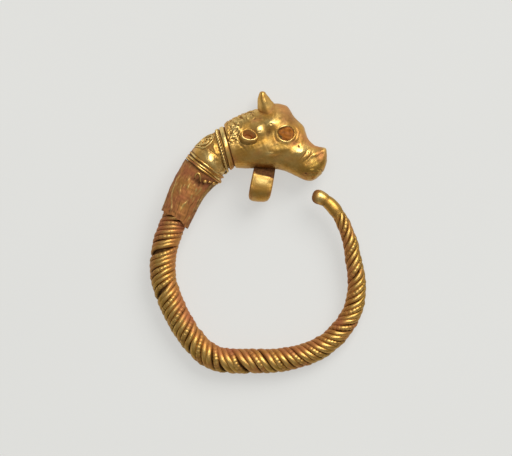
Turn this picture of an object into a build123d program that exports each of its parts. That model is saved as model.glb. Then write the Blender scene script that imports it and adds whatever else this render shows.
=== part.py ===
"""A gold hoop earring: wires wound round a tapering stem, a sheet sleeve, a ringed collar and a calf's head.

Everything is first modelled in the earring's own plane: X to the right and Y up as the hoop is looked at,
Z towards the eye, with the origin at the middle of the hoop. The finished pieces are then laid on their side.
"""

from build123d import *
from math import atan2, cos, degrees, exp, radians, sin
import os

os.makedirs("parts", exist_ok=True)

# Sizes in millimetres, angles in degrees
FIT = 0.04  # clearance between neighbouring pieces

HOOP_RADIUS = 7.9  # from the middle of the hoop to the middle of the wound wires
STEM_DIAMETER = 2.15  # over the wires, where the hoop is thickest
TIP_DIAMETER = 1.0  # of the blunt end that goes into the chin loop
WIRE_COUNT = 6
GROOVE_DEPTH = 0.13  # between two wires, at the thick end
WIND_LEAD = 3.0  # length of hoop in which a wire goes once round, on the whole
PLAIN_TIP = 1.3  # length of the tip before the wires show

SLEEVE_LENGTH = 5.0
SLEEVE_WALL = 0.16
SLEEVE_FLARE = 3.2  # diameter where it meets the collar
FLARE_POWER = 1.5  # 1 would be a straight cone

COLLAR_LENGTH = 2.3
COLLAR_DIAMETER = 3.7
NECK_LEAN = 15  # of the neck's line above the X axis; the collar bends the hoop's line round to it
DOME_RISE = 0.18  # raised boss in the middle of the collar, front and back
DOME_ALONG = 0.50  # where the boss stands, as a share of COLLAR_LENGTH
DOME_SPREAD = 0.18  # share of COLLAR_LENGTH in which the boss falls away

NECK_RING_DIAMETER = 3.5  # plain ring soldered to the collar, next to the head
NECK_RING_WIDTH = 0.42
NECK_GROOVE = 0.05  # between the ring and the collar's last wire

HEAD_LENGTH = 7.7
HEAD_HEIGHT = 5.3
HEAD_WIDTH = 3.8
HEAD_WALL = 0.25

HORN_LENGTH = 1.8
HORN_DIAMETER = 1.42  # at its root
HORN_SPLAY = 24  # leaning out from the head's middle plane
HORN_SWEEP = 14  # leaning back from straight up

EAR_LENGTH = 1.6
EAR_BREADTH = 1.25
EAR_RISE = 0.4  # of the rim over the cheek
EAR_TAPER = 0.08  # by which the ear draws in all round from its root to its rim
EAR_LIP = 0.17  # thickness of the rim
EAR_TURN = 20

EYE_OPENING = 1.2
EYE_RIM = 0.16
EYE_FILL_RECESS = 0.1

LOOP_WIDTH = 1.7  # of the strip, along the jaw
LOOP_DROP = 2.75  # below the jaw
LOOP_SPREAD = 2.2  # across, over the strip
LOOP_STRIP = 0.24
LOOP_ROOT = 0.32  # by which the strip's ends run up into the jaw
LOOP_SLANT = 11

# Fineness of the faceted pieces
ROUND_FACETS = 24
STATIONS_PER_TURN = 11
SLEEVE_STEPS = 6
COVERED_STEPS = 4  # under the sleeve and the collar
COVERED_FROM = 0.3  # share of the sleeve up to which the wires are still wound

# Sections of each horn from its root to its tip
HORN = [
    # share of HORN_LENGTH, share of HORN_DIAMETER
    (0.00, 1.00),
    (0.60, 0.68),
    (1.00, 0.16),
]

# Middle line of the hoop: angle round the hoop and distance from its middle as a share of HOOP_RADIUS.
# The hoop is a little out of true, and its line runs on through the collar into the neck.
AXIS = [
    # angle, radius
    (51, 0.865),
    (45, 0.905),
    (38, 0.930),
    (28, 0.938),
    (8, 0.951),
    (-2, 0.972),
    (-12, 1.017),
    (-22, 1.058),
    (-32, 1.083),
    (-52, 1.078),
    (-72, 1.031),
    (-92, 1.008),
    (-102, 1.032),
    (-112, 1.068),
    (-122, 1.063),
    (-132, 1.027),
    (-152, 0.978),
    (-172, 0.976),
    (-192, 0.956),
    (-202, 0.947),
    (-212, 0.956),
    (-222, 0.996),
    (-232, 1.049),
    (-242, 1.118),
    (-249, 1.173),
    (-256, 1.212),
    (-263, 1.224),
]
NECK_ANGLE = -253

# Thickness over the wires, as a share of the way from TIP_DIAMETER to STEM_DIAMETER
TAPER = [
    # share of the hoop's length, share of the growth
    (0.00, 0.00),
    (0.10, 0.12),
    (0.20, 0.42),
    (0.33, 0.64),
    (0.50, 0.88),
    (0.62, 0.84),
    (0.75, 0.93),
    (1.00, 1.00),
]

# Lead of the wires, as a share of WIND_LEAD: steep near the tip, flatter towards the sleeve
LEAD = [
    # share of the hoop's length, share of the lead
    (0.00, 1.35),
    (0.12, 1.22),
    (0.20, 1.12),
    (0.30, 0.98),
    (0.40, 1.02),
    (0.50, 1.12),
    (0.60, 1.06),
    (0.70, 0.90),
    (0.80, 0.85),
    (0.90, 0.75),
    (1.00, 0.72),
]

# Blunt end of the tip: distance from the very end and radius, as shares of TIP_DIAMETER
TIP_END = [
    # distance, radius
    (0.00, 0.22),
    (0.08, 0.38),
    (0.24, 0.52),
    (0.55, 0.56),
    (0.90, 0.50),
]

# Ragged lower edge of the sleeve: angle from the hoop's outer side and length as a share of SLEEVE_LENGTH
SLEEVE_EDGE = [
    # angle, length
    (0, 0.88),
    (60, 0.90),
    (90, 0.92),
    (120, 0.95),
    (180, 1.00),
    (240, 0.96),
    (300, 0.91),
    (360, 0.88),
]

# Turned outline of the collar: share of COLLAR_LENGTH and share of COLLAR_DIAMETER
COLLAR = [
    # along, across
    (0.00, 0.89),
    (0.02, 0.96),
    (0.06, 0.96),
    (0.08, 0.91),
    (0.10, 0.97),
    (0.14, 0.97),
    (0.16, 0.91),
    (0.18, 0.96),
    (0.22, 0.95),
    (0.24, 0.89),
    (0.36, 0.88),
    (0.50, 0.87),
    (0.64, 0.86),
    (0.79, 0.84),
    (0.82, 0.91),
    (0.93, 0.90),
    (0.96, 0.83),
    (1.00, 0.83),
]

# Rounded outline of the neck ring
NECK_RING = [
    # share of NECK_RING_WIDTH, share of NECK_RING_DIAMETER
    (0.00, 0.88),
    (0.12, 0.96),
    (0.30, 1.00),
    (0.70, 1.00),
    (0.88, 0.96),
    (1.00, 0.88),
]

# Cross-sections of the head, from the neck to the muzzle. Along is a share of HEAD_LENGTH; rise, the height
# of the middle over the neck's, and tall are shares of HEAD_HEIGHT; turn is the angle from the neck's own
# direction; wide is a share of HEAD_WIDTH; corner is a share of half the section's smaller side.
HEAD = [
    # along, rise, turn, tall, wide, corner
    (0.000, -0.010, 0, 0.67, 0.90, 0.92),
    (0.135, 0.065, -14, 0.82, 0.90, 0.88),
    (0.290, 0.110, -18, 0.91, 0.92, 0.84),
    (0.450, 0.145, -20, 0.99, 0.97, 0.80),
    (0.570, 0.120, -23, 0.96, 1.00, 0.78),
    (0.665, -0.010, -27, 0.78, 0.86, 0.80),
    (0.755, -0.160, -28, 0.60, 0.70, 0.84),
    (0.850, -0.250, -28, 0.53, 0.63, 0.88),
    (0.945, -0.250, -28, 0.47, 0.60, 0.90),
    (1.000, -0.240, -28, 0.30, 0.42, 0.90),
]

# Places on the head, from the middle of the neck: share of HEAD_LENGTH, share of HEAD_HEIGHT
HORN_PLACE = (0.385, 0.50)
EAR_PLACE = (0.207, 0.165)
EYE_PLACE = (0.575, 0.175)
LOOP_ALONG = 0.366  # the chin loop is carried under the jaw, this share of HEAD_LENGTH from the neck
HORN_OUT = 0.42  # share of half the head's width

# Place round the hoop where its underside meets what the earring lies on; its other foot is an ear
LOW_ANGLE = -104


def between(table, at, column=1):
    """Value of a column at a place in a table, on straight lines between its rows."""
    rows = sorted(table)
    for low, high in zip(rows, rows[1:]):
        if at <= high[0]:
            share = (at - low[0]) / (high[0] - low[0])
            return low[column] + max(share, 0) * (high[column] - low[column])
    return rows[-1][column]


def slope(rows, index):
    """Steepness of the smooth line at a row: from the row before to the row after."""
    before = rows[max(index - 1, 0)]
    after = rows[min(index + 1, len(rows) - 1)]
    return (after[1] - before[1]) / (after[0] - before[0])


def smooth(table, at):
    """Value at a place on the smooth line through a table's rows: cubic pieces that share their slopes."""
    rows = sorted(table)
    index = 0
    while index < len(rows) - 2 and at > rows[index + 1][0]:
        index += 1
    low, high = rows[index], rows[index + 1]
    span = high[0] - low[0]
    t = (at - low[0]) / span
    rise = (1 + 2 * t) * (1 - t) ** 2 * low[1] + t * t * (3 - 2 * t) * high[1]
    bend = t * (1 - t) ** 2 * slope(rows, index) - t * t * (1 - t) * slope(rows, index + 1)
    return rise + bend * span


def on_axis(angle):
    """Point of the middle line at an angle round the hoop."""
    radius = HOOP_RADIUS * smooth(AXIS, angle)
    return Vector(radius * cos(radians(angle)), radius * sin(radians(angle)))


# The middle line is walked in small steps of angle, with the length from the tip at each step
STEP = 0.5
AXIS_WALK = [(0.0, AXIS[0][0])]
while AXIS_WALK[-1][1] > AXIS[-1][0]:
    length, angle = AXIS_WALK[-1]
    AXIS_WALK.append((length + (on_axis(angle - STEP) - on_axis(angle)).length, angle - STEP))


def length_to(angle):
    """Length of the middle line from the tip to an angle."""
    return between([(-step_angle, step_length) for step_length, step_angle in AXIS_WALK], -angle)


def axis_lean(length):
    """Angle of the middle line above the X axis, at a length from the tip."""
    angle = between(AXIS_WALK, length)
    along = on_axis(angle - STEP) - on_axis(angle + STEP)
    return degrees(atan2(along.Y, along.X))


neck_length = length_to(NECK_ANGLE)
collar_start = neck_length - COLLAR_LENGTH
collar_lean = axis_lean(collar_start)


def frame_at(length):
    """Middle, direction along and direction out of the hoop, at a length from the tip.

    In the collar the sections turn evenly from the hoop's line to the neck's.
    """
    lean = radians(axis_lean(length))
    if length > collar_start:
        share = min((length - collar_start) / COLLAR_LENGTH, 1)
        lean = radians(collar_lean + share * (NECK_LEAN - collar_lean))
    along = Vector(cos(lean), sin(lean))
    return on_axis(between(AXIS_WALK, length)), along, Vector(-along.Y, along.X)


def ring_point(length, around, radius):
    """Point on a round section: around is 0 on the hoop's outer side, 90 towards the eye, 180 inside."""
    middle, _, out = frame_at(length)
    return middle + out * (radius * cos(radians(around))) + Vector(0, 0, radius * sin(radians(around)))


def ring(length, radii, turn=0.0):
    """Closed row of points round a section, one for each (angle, radius) pair."""
    return [ring_point(length, around + turn, radius) for around, radius in radii]


def plain_round(radius, facets=ROUND_FACETS):
    """Evenly spaced (angle, radius) pairs."""
    return [(360 * i / facets, radius) for i in range(facets)]


def facet(*corners):
    """Flat three-cornered face."""
    return Face(Wire.make_polygon(corners))


def faceted_solid(rings, through=False):
    """Solid bounded by facets between rows of points; its ends are closed, or joined up if it is a tube."""
    pairs = list(zip(rings, rings[1:]))
    if through:
        pairs.append((rings[-1], rings[0]))
    facets = []
    for near, far in pairs:
        for i in range(len(near)):
            j = (i + 1) % len(near)
            facets.append(facet(near[i], near[j], far[j]))
            facets.append(facet(near[i], far[j], far[i]))
    for end in () if through else (rings[0], rings[-1]):
        middle = sum(end, Vector()) / len(end)
        facets += [facet(middle, end[i], end[(i + 1) % len(end)]) for i in range(len(end))]
    return Solid(Shell(facets))


sleeve_end = collar_start - FIT
sleeve_start = sleeve_end - SLEEVE_LENGTH
hoop_length = collar_start + COLLAR_LENGTH / 2


def wire_radius(length):
    """Radius over the wires."""
    growth = between(TAPER, length / hoop_length)
    return (TIP_DIAMETER + (STEM_DIAMETER - TIP_DIAMETER) * growth) / 2


def wound_ring(length, turn):
    """Section of the wound wires: a flat crest on each wire and a groove between neighbours."""
    radius = wire_radius(length)
    pitch = 360 / WIRE_COUNT
    shown = min(max((length - PLAIN_TIP) / PLAIN_TIP, 0), 1)
    groove = GROOVE_DEPTH * shown * radius * 2 / STEM_DIAMETER
    radii = []
    for wire in range(WIRE_COUNT):
        crest = wire * pitch
        radii += [(crest - pitch / 6, radius), (crest + pitch / 6, radius), (crest + pitch / 2, radius - groove)]
    return ring(length, radii, turn)


def wound_rings():
    """Sections of the hoop from its blunt tip to its end inside the collar."""
    rows = [(share * TIP_DIAMETER, radius * TIP_DIAMETER) for share, radius in TIP_END]
    rings = []
    for length, radius in rows:
        rings.append([ring_point(length, around, radius) for around, _ in plain_round(radius, WIRE_COUNT * 3)])
    length, turn = PLAIN_TIP, 0.0
    while length < sleeve_start + SLEEVE_LENGTH * COVERED_FROM:
        rings.append(wound_ring(length, turn))
        length += WIND_LEAD * between(LEAD, length / hoop_length) / STATIONS_PER_TURN
        turn += 360 / STATIONS_PER_TURN
    step = (hoop_length - length) / COVERED_STEPS
    rings += [wound_ring(length + step * i, turn) for i in range(COVERED_STEPS + 1)]
    return rings


with BuildPart() as hoop:
    add(faceted_solid(wound_rings()), clean=False)


def sleeve_radius(share):
    """Outer radius of the sleeve: a close fit on the wires below, flaring towards the collar."""
    fitted = STEM_DIAMETER / 2 + FIT + SLEEVE_WALL
    return fitted + (SLEEVE_FLARE / 2 - fitted) * share**FLARE_POWER


def sleeve_ring(share, inset):
    """Row of points round the sleeve, a share of the way up from its ragged edge."""
    points = []
    for around, _ in plain_round(1):
        length = sleeve_end - SLEEVE_LENGTH * between(SLEEVE_EDGE, around) * (1 - share)
        rise = (length - sleeve_start) / SLEEVE_LENGTH
        points.append(ring_point(length, around, sleeve_radius(rise) - inset))
    return points


with BuildPart() as sleeve:
    shares = [step / SLEEVE_STEPS for step in range(SLEEVE_STEPS + 1)]
    outside = [sleeve_ring(share, 0) for share in shares]
    inside = [sleeve_ring(share, SLEEVE_WALL) for share in reversed(shares)]
    add(faceted_solid(outside + inside, through=True), clean=False)


def collar_ring(share, across):
    """Row of points round the collar, with the boss raised on its front and back."""
    swell = exp(-(((share - DOME_ALONG) / DOME_SPREAD) ** 2))
    radii = []
    for around, _ in plain_round(1):
        boss = DOME_RISE * swell * sin(radians(around)) ** 4
        radii.append((around, COLLAR_DIAMETER / 2 * across + boss))
    return ring(collar_start + share * COLLAR_LENGTH, radii)


ring_start = neck_length + NECK_GROOVE
ring_end = ring_start + NECK_RING_WIDTH

with BuildPart() as collar:
    outside = [collar_ring(share, across) for share, across in COLLAR]
    for share, across in NECK_RING:
        outside.append(ring(ring_start + share * NECK_RING_WIDTH, plain_round(NECK_RING_DIAMETER / 2 * across)))
    bore = STEM_DIAMETER / 2 + FIT
    bore_lengths = [ring_end] + [collar_start + share * COLLAR_LENGTH for share in (1, 0.75, 0.5, 0.25, 0)]
    inside = [ring(length, plain_round(bore)) for length in bore_lengths]
    add(faceted_solid(outside + inside, through=True), clean=False)


head_middle, neck_direction, _ = frame_at(ring_end + FIT)


def on_head(place, out=0.0):
    """Point of the head from its shares along and up, out of the head's middle plane by a length."""
    along, rise = place
    return head_middle + Vector(along * HEAD_LENGTH, rise * HEAD_HEIGHT, out)


def section_plane(row, back=0.0):
    """Plane of a cross-section of the head, moved back along the head by a length."""
    along, rise, turn = row[:3]
    direction = neck_direction.rotate(Axis.Z, turn)
    return Plane(origin=on_head((along, rise)) - direction * back, x_dir=(0, 0, 1), z_dir=direction)


def section_size(row, inset=0.0):
    """Width, height and corner radius of a cross-section drawn in from the skin by inset."""
    _, _, _, tall, wide, corner = row
    width = wide * HEAD_WIDTH - 2 * inset
    height = tall * HEAD_HEIGHT - 2 * inset
    return width, height, corner * min(width, height) / 2


def half_width(place):
    """Half the head's width at a share of its length."""
    return between(HEAD, place[0], 4) * HEAD_WIDTH / 2


def side_plane(place, side, out=0.0, turn=0.0):
    """Plane on the flat of the cheek at a place, looking out of the head; side is 1 or -1."""
    x_dir = Vector(cos(radians(turn)), sin(radians(turn)))
    return Plane(origin=on_head(place, side * (half_width(place) + out)), x_dir=x_dir, z_dir=(0, 0, side))


def horn_plane(side, distance):
    """Plane square to a horn, at a distance from its root."""
    lean = radians(HORN_SPLAY)
    sweep = radians(HORN_SWEEP)
    direction = Vector(-sin(sweep) * cos(lean), cos(sweep) * cos(lean), side * sin(lean))
    root = on_head(HORN_PLACE, side * HORN_OUT * HEAD_WIDTH / 2)
    return Plane(origin=root + direction * distance, x_dir=(cos(sweep), sin(sweep), 0), z_dir=direction)


def ear_size(inset):
    """Half length and half breadth of an ear, drawn in all round from its root."""
    return EAR_LENGTH / 2 - inset, EAR_BREADTH / 2 - inset


# The loop hangs from the middle of the jaw; the Y of its plane points down
slant = radians(LOOP_SLANT)
jaw = (LOOP_ALONG, between(HEAD, LOOP_ALONG, 1) - between(HEAD, LOOP_ALONG, 3) / 2)
loop_plane = Plane(origin=on_head(jaw), x_dir=(0, 0, 1), z_dir=(cos(slant), -sin(slant), 0))
loop_leg = LOOP_DROP - LOOP_SPREAD / 2

with BuildPart() as head:
    for row in HEAD:
        with BuildSketch(section_plane(row)):
            RectangleRounded(*section_size(row))
    loft(ruled=True)
    for row in HEAD[:-2]:
        with BuildSketch(section_plane(row, HEAD_WALL if row is HEAD[0] else 0)):
            RectangleRounded(*section_size(row, HEAD_WALL))
    loft(ruled=True, mode=Mode.SUBTRACT)
    for side in (1, -1):
        # Horn
        for share, across in HORN:
            with BuildSketch(horn_plane(side, HORN_LENGTH * share)):
                Circle(HORN_DIAMETER / 2 * across)
        loft(ruled=True)
        # Ear cup and its pocket
        ear_root = side_plane(EAR_PLACE, side, -HEAD_WALL / 2, EAR_TURN)
        ear_mouth = side_plane(EAR_PLACE, side, EAR_RISE, EAR_TURN)
        with BuildSketch(ear_root):
            Ellipse(*ear_size(0))
        with BuildSketch(ear_mouth):
            Ellipse(*ear_size(EAR_TAPER))
        loft(ruled=True)
        with BuildSketch(ear_mouth):
            Ellipse(*ear_size(EAR_TAPER + EAR_LIP))
        with BuildSketch(ear_root):
            Ellipse(*ear_size(EAR_TAPER + 2 * EAR_LIP))
        loft(ruled=True, mode=Mode.SUBTRACT)
        # Eye rim and its opening
        with BuildSketch(side_plane(EYE_PLACE, side, -HEAD_WALL / 2)):
            Circle(EYE_OPENING / 2 + EYE_RIM)
        extrude(amount=HEAD_WALL / 2 + EYE_RIM / 2)
        with BuildSketch(side_plane(EYE_PLACE, side, EYE_RIM)):
            Circle(EYE_OPENING / 2)
        extrude(amount=-(EYE_RIM + HEAD_WALL * 1.5), mode=Mode.SUBTRACT)
    # Chin loop: a strip bent to a U
    with BuildSketch(loop_plane):
        for spread, mode in ((LOOP_SPREAD, Mode.ADD), (LOOP_SPREAD - 2 * LOOP_STRIP, Mode.SUBTRACT)):
            with Locations((0, loop_leg)):
                Circle(spread / 2, mode=mode)
            with Locations((0, -LOOP_ROOT)):
                Rectangle(spread, LOOP_ROOT + loop_leg, align=(Align.CENTER, Align.MIN), mode=mode)
    extrude(amount=LOOP_WIDTH / 2, both=True)


def eye_fill(side):
    """Plug of dull filling in an eye opening."""
    with BuildPart() as plug:
        with BuildSketch(side_plane(EYE_PLACE, side, -EYE_FILL_RECESS)):
            Circle(EYE_OPENING / 2 - FIT)
        extrude(amount=-HEAD_WALL)
    return plug


pieces = {
    "hoop": hoop,
    "sleeve": sleeve,
    "collar": collar,
    "head": head,
    "eye_fill_left": eye_fill(1),
    "eye_fill_right": eye_fill(-1),
}

# The earring is turned over onto its side: onto the rim of an ear and the low side of the hoop
ear_foot = side_plane(EAR_PLACE, -1, EAR_RISE).origin
hoop_foot = on_axis(LOW_ANGLE) - Vector(0, 0, wire_radius(length_to(LOW_ANGLE)))
rest_tilt = degrees(atan2(hoop_foot.Z - ear_foot.Z, ear_foot.Y - hoop_foot.Y))
for piece in pieces.values():
    piece.part.move(Location((0, 0, 0), (rest_tilt, 0, 0)))

# Its box stands on Z = 0 with the origin in the middle
box = Compound([piece.part for piece in pieces.values()]).bounding_box()
seat = Location((-box.center().X, -box.center().Y, -box.min.Z))
for label, piece in pieces.items():
    piece.part.move(seat)
    piece.part.label = label
    export_step(piece.part, f"parts/{label}.step")

print("rest tilt", round(rest_tilt, 3), "moved by", seat.position, "box", box.size)
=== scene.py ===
"""Dresses the animal head earring: wound and beaded wires, a worn sleeve, a ringed collar and a horned head.

Shapes are worked out in millimetres in the earring's own plane: X to the right and Y up as the hoop is looked
at, Z towards the eye, with the origin at the middle of the hoop. They are then laid down in the frame. Each
piece keeps values from 0 to 1 for its metal: red stain, dark soil with painted shade, a dull film with
painted shade, and rubbed bright metal with painted highlights.
"""

from types import SimpleNamespace

import bpy
import numpy as np
from bpy.props import FloatProperty, FloatVectorProperty, IntProperty, PointerProperty
from mathutils import Matrix, Vector


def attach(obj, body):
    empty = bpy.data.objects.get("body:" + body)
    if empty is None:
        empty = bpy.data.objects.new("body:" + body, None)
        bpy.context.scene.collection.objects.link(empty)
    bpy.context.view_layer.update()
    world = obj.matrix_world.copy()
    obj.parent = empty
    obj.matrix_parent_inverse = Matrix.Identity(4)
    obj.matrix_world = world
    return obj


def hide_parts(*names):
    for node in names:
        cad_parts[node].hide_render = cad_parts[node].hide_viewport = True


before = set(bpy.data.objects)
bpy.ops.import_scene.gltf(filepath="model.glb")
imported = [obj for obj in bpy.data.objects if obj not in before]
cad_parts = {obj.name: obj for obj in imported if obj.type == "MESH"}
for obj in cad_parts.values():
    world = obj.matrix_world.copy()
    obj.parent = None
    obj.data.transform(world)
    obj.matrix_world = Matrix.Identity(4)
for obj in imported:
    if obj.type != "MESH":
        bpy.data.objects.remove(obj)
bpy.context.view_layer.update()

bl_info = {
    "name": "Animal head earring",
    "version": (1, 0, 0),
    "blender": (4, 5, 0),
    "location": "View3D > Sidebar > Earring",
    "description": "Builds the wires, sleeve, collar, head and stage of a gold animal head earring",
    "category": "Object",
}

MM = 0.001
TAU = 2 * np.pi

# How the earring lies in the frame: turned about X by an angle in degrees, with the hoop's middle at a point
REST_TILT = 3.553
HOOP_MIDDLE = np.array([0.053, -2.345, 1.529])
PICTURE_MIDDLE = (-0.20, 2.68, 0.0)  # point of the earring's own plane in the middle of the picture
UP = np.array([0.0, 0.0, 1.0])
FLOOR_REACH = 1.2  # from the floor's middle to its edges, in metres
FILM_WIDTH = 36  # of the camera, in mm
LIGHTS = [
    # name, direction from the picture's middle, distance and size in metres
    ("key_light", (0.44, 0.58, 0.80), 0.55, 0.36),
    ("fill_light", (-0.10, 0.16, 1.0), 0.60, 0.22),
]

# Middle line of the hoop: angle round the hoop and distance from its middle as a share of the hoop's radius
AXIS = [
    # angle, radius
    (-263, 1.224), (-256, 1.212), (-249, 1.173), (-242, 1.118), (-232, 1.049), (-222, 0.996), (-212, 0.956),
    (-202, 0.947), (-192, 0.956), (-172, 0.976), (-152, 0.978), (-132, 1.027), (-122, 1.063), (-112, 1.068),
    (-102, 1.032), (-92, 1.008), (-72, 1.031), (-52, 1.078), (-32, 1.083), (-22, 1.058), (-12, 1.017),
    (-2, 0.972), (8, 0.951), (28, 0.938), (38, 0.930), (45, 0.905), (51, 0.865),
]
NECK_ANGLE = -253  # where the collar ends at the neck, round the hoop
NECK_LEAN = 15 - 360  # lean of the neck's line, counted on from the tip's

# Thickness over the wires, as a share of the way from the tip's diameter to the stem's
TAPER = [
    # share of the hoop's length, share of the growth
    (0.00, 0.00), (0.10, 0.12), (0.20, 0.42), (0.33, 0.64), (0.50, 0.88), (0.62, 0.84), (0.75, 0.93),
    (1.00, 1.00),
]

# Lead of the wires, as a share of the lead on the whole
LEAD = [
    # share of the hoop's length, share of the lead
    (0.00, 1.35), (0.12, 1.22), (0.20, 1.12), (0.30, 0.98), (0.40, 1.02), (0.50, 1.12), (0.60, 1.06),
    (0.70, 0.90), (0.80, 0.85), (0.90, 0.75), (1.00, 0.72),
]

# Bulb and bare core of the tip: distance from the very end and radius, as shares of the tip's diameter
TIP = [
    # distance, radius
    (0.00, 0.10), (0.03, 0.26), (0.12, 0.42), (0.30, 0.54), (0.55, 0.585), (0.80, 0.56), (1.10, 0.52),
    (1.20, 0.47), (1.30, 0.515), (1.80, 0.545), (2.35, 0.55), (2.50, 0.50), (2.62, 0.53), (3.40, 0.42),
]

# Places where the wires have parted and the dark core shows
OPENINGS = [
    # length from the tip in mm, width in mm, middle angle round the section, half its spread in degrees
    (7.84, 0.14, 74, 40),
    (11.57, 0.20, 67, 65),
    (12.19, 0.17, 54, 65),
    (19.5, 0.30, 150, 75),
    (20.7, 0.44, 14, 80),
    (22.15, 0.42, 12, 66),
    (25.2, 0.42, 14, 62),
    (30.1, 0.36, 35, 85),
    (33.2, 0.27, 35, 110),
]
WIRE_PHASE = 0.4  # of the wires at the tip, in wires
WIRE_SHARE = 0.53  # a wire's radius as a share of the room that it has beside its neighbours
WIRES_THICKEN = (1.9, 3.6)  # lengths from the tip between which the wires come out of the core, in mm
GAP_FADE = 0.75  # length in mm over which wires stand closer beside an opening
WIRE_HIDDEN = 0.35  # by which the wires run on under the sleeve, as a share of its length
WIRE_START = 2.0  # length from the tip where the wires begin inside the core, in mm

# Ragged lower edge of the sleeve: angle from the hoop's outer side and length as a share of the sleeve's
SLEEVE_EDGE = [
    # angle, length
    (0, 0.88), (41, 0.90), (67, 0.91), (85, 0.89), (113, 0.93), (140, 0.97), (165, 1.00), (185, 0.97),
    (240, 0.96), (300, 0.91), (360, 0.88),
]

LAP_ANGLE = 145  # where the sheet's edge laps over itself, round from the hoop's outer side
SLEEVE_GAP = 0.02  # between the sleeve and the collar, in mm
SLEEVE_ROOM = 0.05  # between the wires and the sleeve's lower end, in mm
SLEEVE_LAP = 0.055  # by which the sheet rises on its way round to lap over itself, in mm
SLEEVE_LAP_START = -0.028  # where it starts under itself, in mm

# A torn hole and a hollow below the collar: angle, share of the sleeve's length, and the half sizes of both
SLEEVE_HOLE = (104, 0.77, 24, 0.060)
SLEEVE_HOLLOW = (128, 0.86, 28, 0.055)
HOLE_DEPTH = 0.12  # in mm
HOLLOW_DEPTH = 0.04  # in mm

# Fine creases along the sleeve: raised ones catch the light and carry a painted highlight, and sunk ones are
# darker
SLEEVE_CREASES = [
    # angle, degrees by which it goes round in the sleeve's length, from and to (shares of it), height in mm
    (47, -72, 0.10, 0.70, 0.024),
    (70, -40, 0.40, 0.60, 0.022),
    (84, -30, 0.02, 0.45, -0.016),
    (74, 10, 0.66, 0.84, 0.018),
    (100, 20, 0.20, 0.48, 0.016),
    (121, 14, 0.52, 0.82, 0.018),
    (124, 10, 0.02, 0.50, -0.020),
    (30, -30, 0.30, 0.80, -0.014),
    (14, -20, 0.05, 0.45, 0.018),
    (205, 20, 0.15, 0.70, 0.022),
    (245, 30, 0.20, 0.80, -0.020),
    (285, -30, 0.08, 0.65, 0.024),
    (325, 20, 0.30, 0.75, 0.018),
]

# Bits of soldered wire left on the sleeve below the collar
SLEEVE_REMAINS = [
    # lift and radius in mm, bluntness of the ends, then places by share of the sleeve's length and angle
    (0.03, 0.080, 0.35, [(0.80, 88), (0.85, 85), (0.89, 89), (0.87, 98), (0.80, 108)]),
    (0.04, 0.145, 0.5, [(0.82, 115), (0.845, 119), (0.87, 123)]),
    (0.06, 0.140, 0.5, [(0.89, 145), (0.91, 150), (0.93, 154)]),
    (0.03, 0.080, 0.5, [(0.86, 130), (0.89, 134), (0.91, 140)]),
    (0.12, 0.135, 0.5, [(0.98, 175), (1.00, 180), (1.02, 185)]),
    (0.09, 0.115, 0.5, [(0.93, 162), (0.945, 166), (0.96, 170)]),
]

# Sheet of the collar under its wires: share of the collar's length and share of its diameter
COLLAR = [
    # along, across
    (-0.11, 0.86), (-0.10, 0.89), (0.00, 0.90), (0.18, 0.90), (0.30, 0.875), (0.50, 0.87), (0.62, 0.86),
    (0.76, 0.84), (0.90, 0.83), (0.95, 0.86), (1.00, 0.86),
]
COLLAR_FOOT = COLLAR[0][0]  # where the sheet begins

# Relief of each side of the collar: the boss, a facet beside the rope and a gutter
COLLAR_RELIEF = [
    # share of the length, angle from the side's middle, half sizes of both, turn, height in mm
    (0.33, 6, 0.16, 34, 0, 0.22),
    (0.71, -17, 0.10, 17, 0, 0.09),
    (0.40, -40, 0.04, 16, 0, -0.05),
]

# Rubbed places of each side of the collar, which are also painted highlights on the boss, the facet and the
# ornament's field
COLLAR_WORN_AND_HIGHLIGHTS = [
    # share of the length, angle from the outer side, half sizes of both, turn, strength
    (0.38, 86, 0.16, 28, 0, 1.0),
    (0.70, 72, 0.10, 14, 0, 0.2),
    (0.55, 34, 0.25, 18, 0, 0.6),
]
COLLAR_SAG = 0.10  # rise of its lower edge on the hoop's inner side, as a share of its length

# Plain wires round the collar's lower edge
COLLAR_WIRES = [
    # along and rise on the inner side (shares of the collar's length), radius and height over the sheet in mm
    (-0.068, 0.02, 0.078, 0.050),
    (0.010, 0.06, 0.082, 0.055),
    (0.108, 0.26, 0.080, 0.050),
]
ROPE_ALONG = 0.885  # place of the rope-twisted wire, as a share of the collar's length
ROPE_TURNS = 20  # of its two strands about each other, once round the collar
ROPE_TWIST = 0.066  # from the middle of the rope-twisted wire to the middle of each strand, in mm
ROPE_STRAND = 0.068  # radius of each of its two strands, in mm
TONGUE = 0.35  # by which the collar reaches down inside the sleeve, in mm
BORE_ROOM = 0.04  # between the wires and the collar's bore, in mm
ROPE_LEAN = 0.055  # by which the rope lies nearer the head on the outer side, as a share of the length
NECK_OFFSET = -0.09  # of the rope and the ring from the hoop's line, outward, in mm

# Rounded outside of the neck ring
NECK_RING = [
    # share of its width, share of its radius
    (-0.20, 0.82), (-0.05, 0.90), (0.06, 0.97), (0.20, 1.0), (0.50, 0.993), (0.78, 0.970), (0.92, 0.935),
    (1.0, 0.88), (1.04, 0.80),
]

# Soldered wire ornament on each half of the collar, by share of its length and angle from its outer side
COLLAR_ORNAMENT = [
    [(0.28, 10), (0.32, 24), (0.37, 40), (0.44, 52), (0.60, 54), (0.74, 49), (0.83, 36)],
    [(0.28, 6), (0.42, 12), (0.58, 9), (0.72, 11), (0.83, 22)],
    [(0.56, 21), (0.47, 26), (0.45, 36), (0.52, 44), (0.62, 43), (0.67, 34), (0.61, 27), (0.55, 33)],
    [(0.34, 17), (0.38, 22), (0.41, 30), (0.39, 36)],
    [(0.66, 20), (0.74, 22), (0.79, 29), (0.76, 37), (0.70, 41)],
    [(0.50, 148), (0.60, 158), (0.72, 150), (0.74, 164)],
]
COLLAR_BEAD = [(0.58, 176), (0.61, 180), (0.64, 184)]  # a blob of solder on the inner side
ORNAMENT_WIRE = 0.075  # radius of the ornament's wire, in mm
BEAD_RADIUS = 0.15  # of the blob of solder, in mm

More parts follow.
